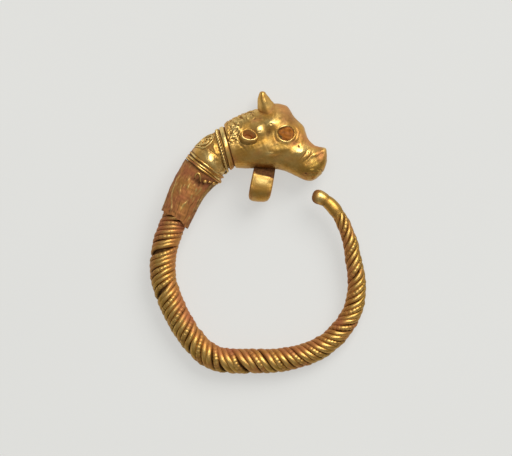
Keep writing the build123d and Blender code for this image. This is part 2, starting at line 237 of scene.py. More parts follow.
# Sections of the head from the neck to the muzzle, each standing on the jaw with its top on the head's back
HEAD = [
    # top x, top y, jaw x, jaw y, half width, squareness
    (-2.76, 10.93, -1.86, 7.58, 1.70, 2.1),
    (-2.60, 11.12, -1.74, 7.50, 1.73, 2.1),
    (-2.00, 11.46, -1.40, 7.47, 1.73, 2.2),
    (-1.20, 11.82, -0.85, 7.45, 1.75, 2.3),
    (-0.35, 12.14, -0.20, 7.43, 1.78, 2.3),
    (0.50, 12.42, 0.45, 7.41, 1.83, 2.4),
    (1.25, 12.64, 1.00, 7.40, 1.87, 2.4),
    (1.90, 12.58, 1.48, 7.38, 1.90, 2.5),
    (2.38, 12.32, 1.92, 7.29, 1.82, 2.5),
    (2.80, 11.64, 2.28, 7.17, 1.66, 2.5),
    (3.22, 11.20, 2.60, 7.03, 1.51, 2.5),
    (3.61, 10.80, 2.88, 6.90, 1.41, 2.5),
    (3.78, 10.30, 3.14, 6.78, 1.36, 2.4),
    (3.90, 9.94, 3.40, 6.64, 1.32, 2.4),
    (4.12, 9.64, 3.66, 6.52, 1.29, 2.4),
    (4.40, 9.36, 3.95, 6.45, 1.26, 2.4),
    (4.72, 9.21, 4.28, 6.48, 1.23, 2.4),
    (5.07, 9.14, 4.60, 6.62, 1.17, 2.5),
    (5.36, 9.06, 4.92, 6.88, 1.07, 2.5),
    (5.45, 8.76, 5.18, 7.20, 0.90, 2.5),
    (5.48, 8.40, 5.36, 7.60, 0.55, 2.3),
    (5.49, 8.10, 5.45, 7.90, 0.14, 2.0),
]

# Modelling of each cheek, as seen from the side; hollows have a height below zero
CHEEK = [
    # x, y, long, short, turn, height
    (0.90, 10.98, 0.60, 0.42, 14, 0.27),
    (-0.02, 10.45, 0.55, 0.38, -60, 0.26),
    (0.82, 10.26, 0.55, 0.30, 80, -0.08),
    (0.28, 8.95, 1.50, 0.80, 0, 0.12),
    (1.60, 8.84, 0.95, 0.28, 15, 0.07),
    (1.05, 8.64, 0.42, 0.085, -6, 0.045),
    (1.60, 8.42, 0.95, 0.28, 14, -0.04),
    (2.18, 10.20, 1.00, 0.92, 0, 0.03),
    (3.16, 8.68, 0.62, 0.46, 12, 0.29),
    (2.72, 9.52, 0.45, 0.22, -35, -0.07),
    (2.30, 8.25, 0.70, 0.30, -12, -0.05),
    (3.62, 8.52, 0.34, 0.060, 50, -0.08),
    (3.80, 8.38, 0.36, 0.060, 50, 0.08),
    (4.02, 8.38, 0.34, 0.060, 50, -0.08),
    (4.22, 8.46, 0.30, 0.065, 47, 0.05),
    (4.44, 8.52, 0.30, 0.070, 45, 0.04),
    (4.66, 8.46, 0.30, 0.060, 42, -0.05),
    (5.20, 8.98, 0.22, 0.14, 15, 0.06),
    (5.08, 8.74, 0.16, 0.11, 30, -0.05),
    (4.85, 8.05, 0.35, 0.60, 0, 0.03),
    (4.45, 7.55, 0.55, 0.42, 0, 0.05),
    (4.30, 7.02, 0.60, 0.070, -2, -0.04),
    (4.18, 7.27, 0.20, 0.11, 10, 0.06),
    (1.95, 11.95, 0.50, 0.20, -20, -0.05),
    (2.45, 11.55, 0.45, 0.12, -48, 0.03),
    (3.05, 10.60, 0.40, 0.16, -60, 0.05),
    (-1.30, 8.90, 0.50, 1.10, 0, -0.05),
    (-1.42, 9.30, 0.45, 0.09, -48, -0.05),
]

# Curved creases of each cheek: parts of a circle between two angles
CREASES = [
    # x, y, radius, from, to, width, height
    (0.00, 10.66, 0.80, 35, 140, 0.100, -0.045),
    (2.18, 10.20, 0.86, -55, 42, 0.060, -0.035),
    (2.18, 10.20, 0.99, -40, 30, 0.060, 0.025),
    (2.18, 10.20, 0.93, 160, 235, 0.080, -0.03),
]

# Hollows on each half of the muzzle's front; a depth below zero raises the skin
MUZZLE_HOLLOWS = [
    # x, y, z, reach, depth
    (5.46, 8.55, 0.46, 0.17, 0.11),
    (5.46, 8.84, 0.50, 0.16, -0.045),
    (5.46, 8.50, 0.72, 0.13, -0.040),
    (5.46, 8.25, 0.00, 0.12, 0.030),
]

# Small casting and wear pits on the cheek
PITS = [
    # x, y, radius, depth
    (1.03, 10.92, 0.065, 0.09),
    (0.10, 10.33, 0.050, 0.06),
    (3.18, 9.20, 0.065, 0.08),
    (3.98, 8.66, 0.055, 0.06),
    (3.76, 7.00, 0.080, 0.10),
    (-0.30, 11.40, 0.060, 0.05),
]

# Reddish stain on the head, as seen from the side
HEAD_STAINS = [
    # x, y, half length, half breadth, turn, strength
    (1.70, 12.40, 1.05, 0.40, 0, 0.35),
    (2.20, 11.35, 0.85, 0.60, -25, 0.35),
    (2.45, 11.90, 0.55, 0.42, -50, 0.50),
    (3.70, 9.85, 1.00, 0.30, -52, 0.75),
    (4.50, 9.20, 0.70, 0.16, -12, 0.60),
    (2.84, 9.50, 0.60, 0.30, -35, 0.70),
    (4.95, 8.35, 0.40, 0.50, 0, 0.90),
    (-1.70, 11.45, 1.20, 0.40, 26, 0.55),
    (-0.30, 11.75, 0.80, 0.40, 15, 0.50),
    (-0.20, 11.25, 0.60, 0.22, 10, 0.45),
    (3.80, 6.98, 0.30, 0.14, 0, 0.60),
    (-2.00, 8.20, 0.30, 0.70, 0, 0.45),
]

# Olive-brown film on the head, which is also painted shade along the jaw's underside, under the ear, on the
# muzzle's front and above the eye, as seen from the side
HEAD_FILMS_AND_SHADE = [
    # x, y, half length, half breadth, turn, strength
    (-0.40, 7.95, 2.20, 0.62, 0, 0.40),
    (2.20, 7.75, 1.60, 0.55, -10, 0.50),
    (3.90, 7.05, 1.00, 0.42, -8, 0.65),
    (4.60, 7.90, 0.80, 0.85, 0, 0.90),
    (-0.90, 9.15, 0.70, 0.30, 0, 0.75),
    (0.30, 9.60, 0.80, 0.40, 0, 0.35),
    (1.85, 9.20, 0.80, 0.45, 0, 0.70),
    (2.15, 11.35, 0.85, 0.60, -20, 1.00),
    (-1.45, 9.25, 0.35, 0.60, 30, 0.35),
    (2.90, 9.45, 0.45, 0.28, -35, 0.75),
    (0.30, 8.50, 0.60, 0.30, 0, 0.30),
    (5.05, 8.40, 0.40, 0.60, 0, 0.85),
]

# Painted shade on the head in the soil colour, above the eye and in front of it, as seen from the side
HEAD_SHADE = [
    # x, y, half length, half breadth, turn, strength
    (2.15, 11.40, 0.80, 0.60, -25, 0.36),
    (3.00, 10.60, 0.35, 0.45, -50, 0.20),
]

# Rubbed places on the head, which are also painted highlights on the brow, temple, cheek and muzzle, as seen
# from the side
HEAD_WORN_AND_HIGHLIGHTS = [
    # x, y, half length, half breadth, turn, strength
    (0.95, 11.10, 0.55, 0.32, 12, 1.00),
    (0.13, 10.55, 0.26, 0.40, 0, 1.00),
    (3.30, 8.81, 0.60, 0.42, 12, 1.00),
    (0.82, 8.66, 0.36, 0.20, 0, 0.90),
    (5.30, 9.05, 0.16, 0.12, 0, 0.70),
    (-1.90, 10.30, 0.45, 0.90, 0, 1.00),
    (-1.00, 11.50, 1.10, 0.40, 25, 0.75),
    (4.10, 8.50, 0.50, 0.30, 50, 0.60),
    (2.18, 9.52, 0.45, 0.10, 0, 0.60),
]

MOUTH_HEIGHT = 7.12  # y of the mouth's line at the front of the muzzle
EYE_PLACE = (2.18, 10.20)  # middle of an eye, as seen from the side
EYE_OVAL = (1.05, 0.95)  # by which the eye is longer along the head and lower across it
EAR_PLACE = (-0.76, 9.79)  # middle of an ear's root, as seen from the side
EAR_TURN = -17  # lean of the ear's longer way above X, in degrees
LOOP_PLACE = (0.50, 7.45)  # on the jaw, midway between the chin loop's ends
LOOP_SLANT = 11  # by which the chin loop hangs towards the neck, in degrees

# Outline of an ear cup from its root over the rim and down into the hollow
EAR_CUP = [
    # share of the ear's half size, share of its rise
    (1.22, -0.50), (1.16, 0.00), (1.08, 0.45), (1.02, 0.80), (0.97, 0.97), (0.89, 1.00), (0.82, 0.93),
    (0.77, 0.62), (0.70, 0.15), (0.50, -0.25), (0.18, -0.35),
]
EAR_LEAN = 0.30  # by which an ear's rim lies higher on the head than its root, in mm
EAR_SINK = 0.40  # depth in mm of the hollow in the skin under an ear's floor
EYE_SINK = 0.26  # depth in mm of the socket behind an eye's filling
EYE_SEAT = 0.025  # by which the skin rises under an eye's rim, in mm
FILLING_LIFT = 0.13  # of an eye's filling over the bottom of its socket, in mm

# A horn from inside the head to its point
HORN = [
    # share of the horn's length, radius in mm
    (-0.10, 0.86), (0.00, 0.76), (0.10, 0.69), (0.25, 0.61), (0.45, 0.50), (0.65, 0.385), (0.82, 0.285),
    (0.92, 0.215), (0.975, 0.14), (1.00, 0.04),
]
HORN_ROOT = np.array([0.74, 12.02, 0.78])
HORN_TIP = np.array([0.30, 13.57, 1.46])
HORN_BOW = np.array([-0.10, 0.05, 0.06])  # by which its middle lies off the straight line

THROAT_RADIUS = 1.62  # of the drum that closes the groove between the neck ring and the head, in mm
THROAT_LENGTH = 0.60  # of the same drum, in mm
LOOP_ROOT = 0.34  # by which the chin loop's ends reach into the jaw, in mm


def length_setting(name, description, millimetres):
    """A length that a user may change."""
    return FloatProperty(
        name=name, description=description, default=millimetres * MM, unit="LENGTH", precision=5)


def colour_setting(name, description, default):
    """A colour that a user may change."""
    return FloatVectorProperty(
        name=name, description=description, default=default, subtype="COLOR", min=0, max=1)


class EarringSizes(bpy.types.PropertyGroup):
    """Sizes of the earring's pieces."""

    hoop_radius: length_setting("Hoop radius", "From the middle of the hoop to the middle of its wires", 7.9)
    stem_diameter: length_setting("Stem diameter", "Over the wires where the hoop is thickest", 2.15)
    tip_diameter: length_setting("Tip diameter", "Of the blunt tip that goes through the ear", 1.0)
    wire_count: IntProperty(
        name="Wires", description="Wires laid side by side round the core; every third one is beaded",
        default=6, min=3, max=9)
    wind_lead: length_setting("Lead", "Length of hoop in which a wire goes once round, on the whole", 3.0)
    bead_pitch: length_setting("Bead pitch", "From bead to bead along a beaded wire", 0.30)
    sleeve_length: length_setting("Sleeve length", "Of the sheet sleeve below the collar", 5.0)
    sleeve_wall: length_setting("Sleeve wall", "Thickness of the sleeve's sheet", 0.16)
    sleeve_flare: length_setting("Sleeve flare", "Diameter of the sleeve where it meets the collar", 3.2)
    collar_length: length_setting("Collar length", "Along the hoop, without the neck ring", 2.3)
    collar_diameter: length_setting("Collar diameter", "Over the wires round its lower edge", 3.7)
    neck_ring_diameter: length_setting("Neck ring diameter", "Of the plain ring next to the head", 3.5)
    neck_ring_width: length_setting("Neck ring width", "Of the plain ring, along the neck", 0.42)
    eye_opening: length_setting("Eye opening", "Across an eye, inside its rim", 1.20)
    eye_rim: length_setting("Eye rim", "Width of the raised rim round an eye", 0.16)
    ear_length: length_setting("Ear length", "Across the ear cup, the longer way", 1.34)
    ear_breadth: length_setting("Ear breadth", "Across the ear cup, the shorter way", 0.92)
    ear_rise: length_setting("Ear rise", "Of the ear's rim over the cheek", 0.40)
    loop_width: length_setting("Loop width", "Of the chin loop's strip, along the jaw", 1.70)
    loop_drop: length_setting("Loop drop", "Of the chin loop below the jaw", 2.75)
    loop_spread: length_setting("Loop spread", "Across the chin loop, over its strip", 2.2)
    loop_strip: length_setting("Strip thickness", "Of the chin loop", 0.24)


class GoldFinish(bpy.types.PropertyGroup):
    """Colours of the gold and of what has settled on it."""

    gold: colour_setting("Gold", "Colour of the metal", (0.70, 0.37, 0.075))
    # The worn gold colour also lays painted highlights, and the dull gold and soil colours also lay painted
    # shade
    bright: colour_setting("Worn gold", "Colour of the metal where it is rubbed bright", (0.90, 0.65, 0.24))
    olive: colour_setting("Dull gold", "Colour of the metal under a thin film", (0.36, 0.215, 0.042))
    stain: colour_setting("Red stain", "Reddish-brown stain on the metal", (0.50, 0.170, 0.060))
    soil: colour_setting("Soil", "Dark soil left in hollows and grooves", (0.060, 0.026, 0.012))
    filling: colour_setting("Eye filling", "Reddish-brown filling of the eyes", (0.62, 0.205, 0.026))
    roughness: FloatProperty(
        name="Roughness", description="Of the cleanest gold", default=0.38, min=0, max=1, subtype="FACTOR")


class StudioSettings(bpy.types.PropertyGroup):
    """Floor, lights and camera."""

    floor: colour_setting("Floor", "Colour of the floor", (0.27, 0.27, 0.258))
    floor_glow: FloatProperty(
        name="Floor glow", description="Light that the floor, an opal sheet, lets through from below",
        default=0.515, min=0, max=2)
    surround: colour_setting("Surround", "Colour of the room round the floor", (0.25, 0.25, 0.25))
    key_power: FloatProperty(
        name="Key light", description="Power of the large light at the upper right",
        default=2.3, min=0, unit="POWER")
    fill_power: FloatProperty(
        name="Fill light", description="Power of the light beside the camera",
        default=0.4, min=0, unit="POWER")
    view_width: length_setting("View width", "Width of floor in the picture", 40.96)
    camera_distance: length_setting("Camera distance", "From the camera to the earring", 400)


def sizes_in_mm():
    """The sizes as a plain object, in millimetres; counts stay as they are."""
    group = bpy.context.scene.earring_sizes
    sizes = {key: getattr(group, key) for key in EarringSizes.__annotations__}
    return SimpleNamespace(**{key: one if isinstance(one, int) else one / MM for key, one in sizes.items()})


def laid(points):
    """Points of the earring's own plane turned about X by the rest tilt, moved to their place, in metres."""
    tilt = np.radians(REST_TILT)
    x, y, z = np.moveaxis(np.asarray(points, float), -1, 0)
    turned = np.stack([x, y * np.cos(tilt) - z * np.sin(tilt), y * np.sin(tilt) + z * np.cos(tilt)], -1)
    return (turned + HOOP_MIDDLE) * MM


def smooth(places, values, at):
    """Cubic pieces through the values that share their slopes, each worked out from the values beside it."""
    places, values, at = (np.asarray(one, float) for one in (places, values, at))
    index = np.arange(len(places))
    before, after = np.maximum(index - 1, 0), np.minimum(index + 1, len(places) - 1)
    wide = (-1,) + (1,) * (values.ndim - 1)
    slopes = (values[after] - values[before]) / (places[after] - places[before]).reshape(wide)
    low = np.clip(np.searchsorted(places, at, side="right") - 1, 0, len(places) - 2)
    span = places[low + 1] - places[low]
    t = ((at - places[low]) / span).reshape(at.shape + wide[1:])
    rise = (1 + 2 * t) * (1 - t) ** 2 * values[low] + t * t * (3 - 2 * t) * values[low + 1]
    bend = t * (1 - t) ** 2 * slopes[low] - t * t * (1 - t) * slopes[low + 1]
    return rise + bend * span.reshape(t.shape)


def fine_rows(table, count):
    """A table's rows read smoothly at a number of even steps from the first row to the last."""
    table = np.array(table, float)
    return smooth(np.arange(len(table)), table, np.linspace(0, len(table) - 1, count))


def straight(table, at):
    """Second column of a table at places in its first, on straight lines between its rows."""
    columns = np.array(table, float).T
    return np.interp(at, columns[0], columns[1])


def ease(value, low, high):
    """Rises smoothly from 0 at low to 1 at high: 3t^2 - 2t^3."""
    t = np.clip((value - low) / (high - low), 0, 1)
    return t * t * (3 - 2 * t)


def bell(*offsets):
    """1 where all offsets are 0, falling off round it: exp of minus the sum of their squares."""
    return np.exp(-sum(offset**2 for offset in offsets))


def squarish(value, power):
    """A cosine or sine made squarer: its size to a power below 1, with its sign."""
    return np.sign(value) * np.abs(value) ** power


def unit(vectors):
    """Vectors made one long."""
    return vectors / np.maximum(np.linalg.norm(vectors, axis=-1, keepdims=True), 1e-12)


def square_to(vectors, ahead):
    """Vectors made one long and square to a direction."""
    return unit(vectors - ahead * np.sum(vectors * ahead, axis=-1, keepdims=True))


def run_along(points):
    """Length run at each point of a line."""
    return np.concatenate([[0], np.cumsum(np.linalg.norm(np.diff(points, axis=0), axis=1))])


def full_turn(count):
    """Angles that share a full turn out evenly."""
    return TAU * np.arange(count) / count


def turn_grid(places, columns):
    """Grid of places along a line by angles round it."""
    return np.meshgrid(places, full_turn(columns), indexing="ij")


def from_middle(degrees, middle):
    """Degrees from a middle angle, -180 to 180."""
    return (degrees - middle + 180) % 360 - 180


def waver(at, length, seed, terms=6):
    """Smooth unevenness about zero: a sum of sines with lengths spread about a given one, seeded."""
    draw = np.random.default_rng(seed)
    total = 0
    for _ in range(terms):
        total = total + np.sin(TAU * (at / (length * draw.uniform(0.6, 1.7)) + draw.uniform()))
    return total / terms**0.5


def lumps(points, length, seed, terms=14):
    """Smooth unevenness in space: a sum of sines of the distance along seeded directions."""
    draw = np.random.default_rng(seed)
    total = 0
    for _ in range(terms):
        direction = unit(draw.normal(size=3)) / (length * draw.uniform(0.6, 1.6))
        total = total + np.sin(TAU * (points @ direction + draw.uniform()))
    return total / terms**0.5


def along_and_across(x, y, place, degrees):
    """Distances from a place along and across a direction that leans by an angle above X."""
    lean = np.radians(degrees)
    right, up = x - place[0], y - place[1]
    return right * np.cos(lean) + up * np.sin(lean), up * np.cos(lean) - right * np.sin(lean)


def bumps(x, y, table):
    """Sum of oval bumps: each is its height times exp(-(along / long)^2 - (across / short)^2)."""
    total = np.zeros_like(x)
    for middle_x, middle_y, long, short, turn, height in table:
        along, across = along_and_across(x, y, (middle_x, middle_y), turn)
        total += height * bell(along / long, across / short)
    return total


class HoopLine:
    """The hoop's middle line walked from the tip: its lengths, its points and its lean above the X axis."""

    def __init__(self, size):
        step = 0.5
        angles = np.arange(AXIS[-1][0], AXIS[0][0] - step, -step)
        rows = np.array(AXIS, float)

        def on_axis(angle):
            radius = size.hoop_radius * smooth(rows[:, 0], rows[:, 1], angle)
            return np.stack([radius * np.cos(np.radians(angle)), radius * np.sin(np.radians(angle))], -1)

        self.points = on_axis(angles)
        self.lengths = run_along(self.points)
        ahead = on_axis(angles - step) - on_axis(angles + step)
        self.leans = np.degrees(np.unwrap(np.arctan2(ahead[:, 1], ahead[:, 0])))
        self.neck = np.interp(NECK_ANGLE, angles[::-1], self.lengths[::-1])
        self.collar_start = self.neck - size.collar_length
        self.collar_length = size.collar_length

    def at(self, length):
        """Middle and direction out of the hoop; in the collar the line's lean goes evenly to the neck's."""
        x, y = (np.interp(length, self.lengths, self.points[:, axis]) for axis in (0, 1))
        collar_lean = np.interp(self.collar_start, self.lengths, self.leans)
        share = np.clip((length - self.collar_start) / self.collar_length, 0, 1)
        lean = np.interp(length, self.lengths, self.leans)
        lean = np.radians(np.where(share > 0, collar_lean + share * (NECK_LEAN - collar_lean), lean))
        zero = np.zeros_like(lean)
        return np.stack([x, y, zero], -1), np.stack([-np.sin(lean), np.cos(lean), zero], -1)

    def outward(self, length, around):
        """Direction away from the line: cos a out + sin a Z, a being 0 on the hoop's outer side."""
        return self.at(length)[1] * np.cos(around)[..., None] + UP * np.sin(around)[..., None]

    def ring_points(self, length, around, radius):
        """Points at a distance outward from the line."""
        return self.at(length)[0] + self.outward(length, around) * np.asarray(radius)[..., None]

    def wire(self, length, around, reach, thick, **values):
        """A tube through points round the line."""
        return tube(self.ring_points(length, around, reach), self.outward(length, around), thick, **values)


def surface(points, close_rows=False, **values):
    """Faces of a grid of points whose columns join up; its rows join up too, or end in fans to their middles.

    They face outwards where the columns' direction crosses the rows' outward.
    """
    rows, columns = points.shape[:2]
    i = np.arange(rows if close_rows else rows - 1)[:, None]
    j = np.arange(columns)[None, :]
    right, below = (j + 1) % columns, (i + 1) % rows
    corners = (i * columns + j, i * columns + right, below * columns + right, below * columns + j)
    quads = np.stack(np.broadcast_arrays(*corners), -1).reshape(-1, 4)
    flat = points.reshape(-1, 3)
    spread = {key: np.broadcast_to(value, (rows, columns)).reshape(-1) for key, value in values.items()}
    triangles = [np.zeros((0, 3), int)]
    for end in () if close_rows else (0, rows - 1):
        near = end * columns + np.arange(columns)
        far = np.roll(near, -1)
        middle = np.full(columns, len(flat))
        flat = np.vstack([flat, points[end].mean(axis=0)])
        spread = {key: np.append(value, value[near[0]]) for key, value in spread.items()}
        triangles.append(np.stack([middle, far, near] if end == 0 else [middle, near, far], -1))
    return flat, quads, np.concatenate(triangles), spread


def lined(outside, inside, **values):
    """A closed ring from a sheet's seen side and its unseen one, which is stained and painted dark all over
    as shade.
    """
    unseen = {"soil": 1.0, "stain": 1.0}
    for key, value in values.items():
        seen = np.broadcast_to(value, outside.shape[:2])
        values[key] = np.concatenate([seen, np.full(inside.shape[:2], unseen.get(key, 0.0))])
    return surface(np.concatenate([outside, inside]), close_rows=True, **values)


def piece(name, surfaces, material, node, crease=None):
    """One object from several surfaces, laid in the frame, riding on the body and standing for a node."""
    starts = np.cumsum([0] + [len(flat) for flat, *_ in surfaces])
    points = laid(np.concatenate([flat for flat, *_ in surfaces]))
    quads = np.concatenate([part[1] + start for part, start in zip(surfaces, starts)])
    triangles = np.concatenate([part[2] + start for part, start in zip(surfaces, starts)])
    corners = np.concatenate([quads.ravel(), triangles.ravel()])
    sides = np.repeat([4, 3], [len(quads), len(triangles)])

    mesh = bpy.data.meshes.new(name)
    mesh.vertices.add(len(points))
    mesh.vertices.foreach_set("co", points.astype(np.float32).ravel())
    mesh.loops.add(len(corners))
    mesh.loops.foreach_set("vertex_index", corners.astype(np.int32))
    mesh.polygons.add(len(sides))
    mesh.polygons.foreach_set("loop_start", (np.cumsum(sides) - sides).astype(np.int32))
    mesh.update(calc_edges=True)
    mesh.validate()
    mesh.polygons.foreach_set("use_smooth", np.ones(len(mesh.polygons), bool))
    if crease is not None:
        mesh.set_sharp_from_angle(angle=np.radians(crease))
    for key in sorted({key for part in surfaces for key in part[3]}):
        values = np.concatenate([part[3].get(key, np.zeros(len(part[0]))) for part in surfaces])
        layer = mesh.attributes.new(key, "FLOAT", "POINT")
        layer.data.foreach_set("value", np.clip(values, 0, 1).astype(np.float32))
    mesh.materials.append(material)

    made = bpy.data.objects.new(name, mesh)
    bpy.context.scene.collection.objects.link(made)
    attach(made, "root")
    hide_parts(node)
    return made


def tube(line, outward, radius, sides=10, closed=False, flat=0.0, crest=0.0, **values):
    """A round profile carried along a line: line + radius (cos a outward + sin a sideways).

    The outward half is pressed flatter by a share of its height, as a rubbed wire is, and an argument says
    how bright its top is, with wear and a painted highlight. The half below is darker.
    """
    if closed:
        ahead = unit(np.roll(line, -1, axis=0) - np.roll(line, 1, axis=0))
    else:
        ahead = unit(np.gradient(line, axis=0))
    outward = square_to(outward, ahead)
    sideways = np.cross(ahead, outward)
    turn = full_turn(sides)
    height = np.cos(turn) * (1 - flat * np.maximum(np.cos(turn), 0))
    profile = outward[:, None] * height[None, :, None] + sideways[:, None] * np.sin(turn)[None, :, None]
    points = line[:, None] + np.reshape(radius, (-1, 1, 1)) * profile
    values = {key: np.reshape(value, (-1, 1)) for key, value in values.items()}
    values["soil"] = np.maximum(values.get("soil", 0), 0.5 - 0.75 * np.cos(turn))
    lit = np.reshape(crest, (-1, 1)) * ease(np.cos(turn), 0.4, 1.0)
    values["worn"] = np.maximum(values.get("worn", 0), lit)
    return surface(points, close_rows=closed, **values)


class Winding:
    """The wires wound round the core: their turns, thickness and the places where they have parted."""

    def __init__(self, size, line):
        self.size, self.line = size, line
        self.hoop_length = line.collar_start + size.collar_length / 2
        self.sleeve_start = line.collar_start - size.sleeve_length
        self.lengths = np.linspace(0, self.hoop_length, 6000)
        share = self.lengths / self.hoop_length
        self.lead = size.wind_lead * straight(LEAD, share)
        turns = np.cumsum(np.gradient(self.lengths) / self.lead)
        self.turn = TAU * (turns - turns[0])
        growth = straight(TAPER, share)
        self.outer = (size.tip_diameter + (size.stem_diameter - size.tip_diameter) * growth) / 2
        middle = self.outer * 0.8
        for _ in range(4):
            lean = np.arctan(self.lead / (TAU * middle))
            self.wire = WIRE_SHARE * self.lead / size.wire_count * np.cos(lean)
            middle = self.outer - 0.88 * self.wire
        shown = ease(self.lengths, *WIRES_THICKEN)
        self.wire = self.wire * (0.45 + 0.55 * shown)
        self.middle = self.outer - 0.74 * self.wire - (1 - shown) * 0.08

    def parted(self, length, around):
        """Shift along the hoop that opens the gaps: away from each, fading with distance and round about."""
        shift = np.zeros_like(length)
        count = self.size.wire_count
        for place, width, middle, half in OPENINGS:
            centre = np.radians(middle)
            wires = (self.turn - centre) * count / TAU
            wanted = np.floor(np.interp(place, self.lengths, wires) - WIRE_PHASE) + 0.5 + WIRE_PHASE
            gap = np.interp(wanted, wires, self.lengths)
            lead = np.interp(gap, self.lengths, self.lead)
            round_from = (around - centre + np.pi) % TAU - np.pi
            from_gap = length - gap - lead * round_from / TAU
            window = np.exp(-((round_from / np.radians(half)) ** 4))
            shift += np.sign(from_gap) * width / 2 * window * np.exp(-np.abs(from_gap) / GAP_FADE)
        return shift

    def wire_line(self, index, spacing):
        """Points spaced evenly along one wire, with their outward directions, thickness and length run."""
        first = TAU * (index - WIRE_PHASE) / self.size.wire_count
        until = self.sleeve_start + WIRE_HIDDEN * self.size.sleeve_length
        from_tip = np.linspace(WIRE_START, until, 5000)
        around = first + np.interp(from_tip, self.lengths, self.turn)
        middle = np.interp(from_tip, self.lengths, self.middle)
        run = run_along(self.line.ring_points(from_tip, around, middle))
        wanted = np.arange(0, run[-1], spacing)
        length = np.interp(wanted, run, from_tip)
        around = np.interp(wanted, run, around)
        radius = np.interp(length, self.lengths, self.wire)
        middle = np.interp(length, self.lengths, self.middle) + 0.02 * waver(length, 1.7, 80 + index)
        uneven = 0.045 * waver(length, 2.6, 40 + index) + 0.02 * waver(length, 0.9, 60 + index)
        moved = length + self.parted(length, around) + uneven * ease(length, 2, 5)
        points, outward = self.line.ring_points(moved, around, middle), self.line.outward(moved, around)
        return points, outward, radius, wanted, around, length


def hoop_stain(length, around, line, seed=5):
    """Reddish stain: on the inner side, in a patch below the sleeve, at the tip and in drifts elsewhere."""
    points = line.ring_points(length, around, np.ones_like(length))
    drift = ease(lumps(points, 2.6, seed), -0.4, 1.0)
    flecks = ease(lumps(points, 0.8, seed + 1), 0.0, 1.2)
    inner = ease(-np.cos(around + 0.35), 0.15, 0.95)
    patch = ease(length, 32.5, 34.5) * ease(np.cos(around - 0.5), 0.2, 0.8)
    along_limb = 0.55 * inner + 0.45 * drift + 0.25 * flecks + 0.7 * patch
    near_tip = 1 - ease(length + 0.20 * np.cos(around), 0.50, 0.85)
    return along_limb * ease(length, 2.0, 4.0) + 0.8 * near_tip


def hoop_film_and_shade(around):
    """Dull film with painted shade on the hoop's outer side, which turns away from the eye, and a little on
    its inner side.
    """
    return 0.95 * ease(np.cos(around), 0.0, 0.8) + 0.45 * ease(-np.cos(around), 0.5, 1.0)


class EARRING_OT_hoop(bpy.types.Operator):
    """Lay the plain and the beaded wires round the core and the blunt tip"""

    bl_idname = "earring.hoop"
    bl_label = "Wind the hoop"

    def execute(self, context):
        size = sizes_in_mm()
        line = HoopLine(size)
        winding = Winding(size, line)
        wire_gold = gold_material("gold_of_wires", drift=2.2, brightness=0.40, matte=0.4)

        plain, beaded = [], []
        for index in range(size.wire_count):
            is_beaded = index % 3 == 2
            spacing = size.bead_pitch / 6 if is_beaded else 0.11
            points, outward, radius, run, around, length = winding.wire_line(index, spacing)
            # Wear with a painted highlight along the wires' tops on the faces towards the eye and the floor,
            # and a dull film with painted shade on the hoop's sides
            look = {"stain": hoop_stain(length, around, line), "film": hoop_film_and_shade(around),
                    "crest": 0.42 * ease(np.abs(np.sin(around + 0.15)), 0.80, 1.0)}
            if is_beaded:
                bead = np.abs(np.sin(np.pi * run / size.bead_pitch)) ** 0.7
                soil = 0.50 * (1 - ease(bead, 0.2, 0.7))
                swell = 0.88 + 0.14 * bead
                beaded.append(tube(points, outward, radius * swell, sides=9, flat=0.14, soil=soil, **look))
            else:
                uneven = 1 + 0.06 * waver(run, 4.0, 20 + index)
                plain.append(tube(points, outward, radius * uneven, flat=0.22, **look))
        piece("plain_wires", plain, wire_gold, "hoop")
        piece("beaded_wires", beaded, wire_gold, "hoop")
        piece("core_and_tip", [self.core(size, line, winding)], wire_gold, "hoop")
        return {"FINISHED"}

    def core(self, size, line, winding):
        """The core carried along the hoop's line from the bulb of its tip, with two grooves beside it."""
        end = size.tip_diameter
        distances, radii = np.array(TIP).T * end
        bulb = np.linspace(0, 1, 40) ** 1.5 * distances[-1]
        length = np.concatenate([bulb, np.linspace(distances[-1], winding.hoop_length, 420)[1:]])
        bulb_radius = smooth(distances, radii, np.minimum(length, distances[-1]))
        core_radius = np.interp(length, winding.lengths, winding.outer - 1.55 * winding.wire)
        share = ease(length, distances[-1] - 0.9 * end, distances[-1])
        radius = bulb_radius * (1 - share) + core_radius * share
        length, around = turn_grid(length, 28)
        points = line.ring_points(length, around, radius[:, None])
        # Painted shade: the core is dark under the wires, where it shows in their openings; the tip's end and
        # the two grooves are darker
        soil = ease(length, 3.0, 4.0) + 0.40 * (1 - ease(length + 0.2 * np.cos(around), 0.35, 0.60))
        grooves = bell((length - 1.20 * end) / 0.06) + 0.8 * bell((length - 2.50 * end) / 0.06)
        # A painted highlight on the bulb, on its side towards the eye
        bright = 0.8 * bell((length - 0.62) / 0.30) * ease(np.sin(around), 0.3, 0.9)
        return surface(points, stain=hoop_stain(length, around, line), soil=np.maximum(soil, 0.8 * grooves),
                       film=0.45 + 0.40 * hoop_film_and_shade(around), worn=bright)


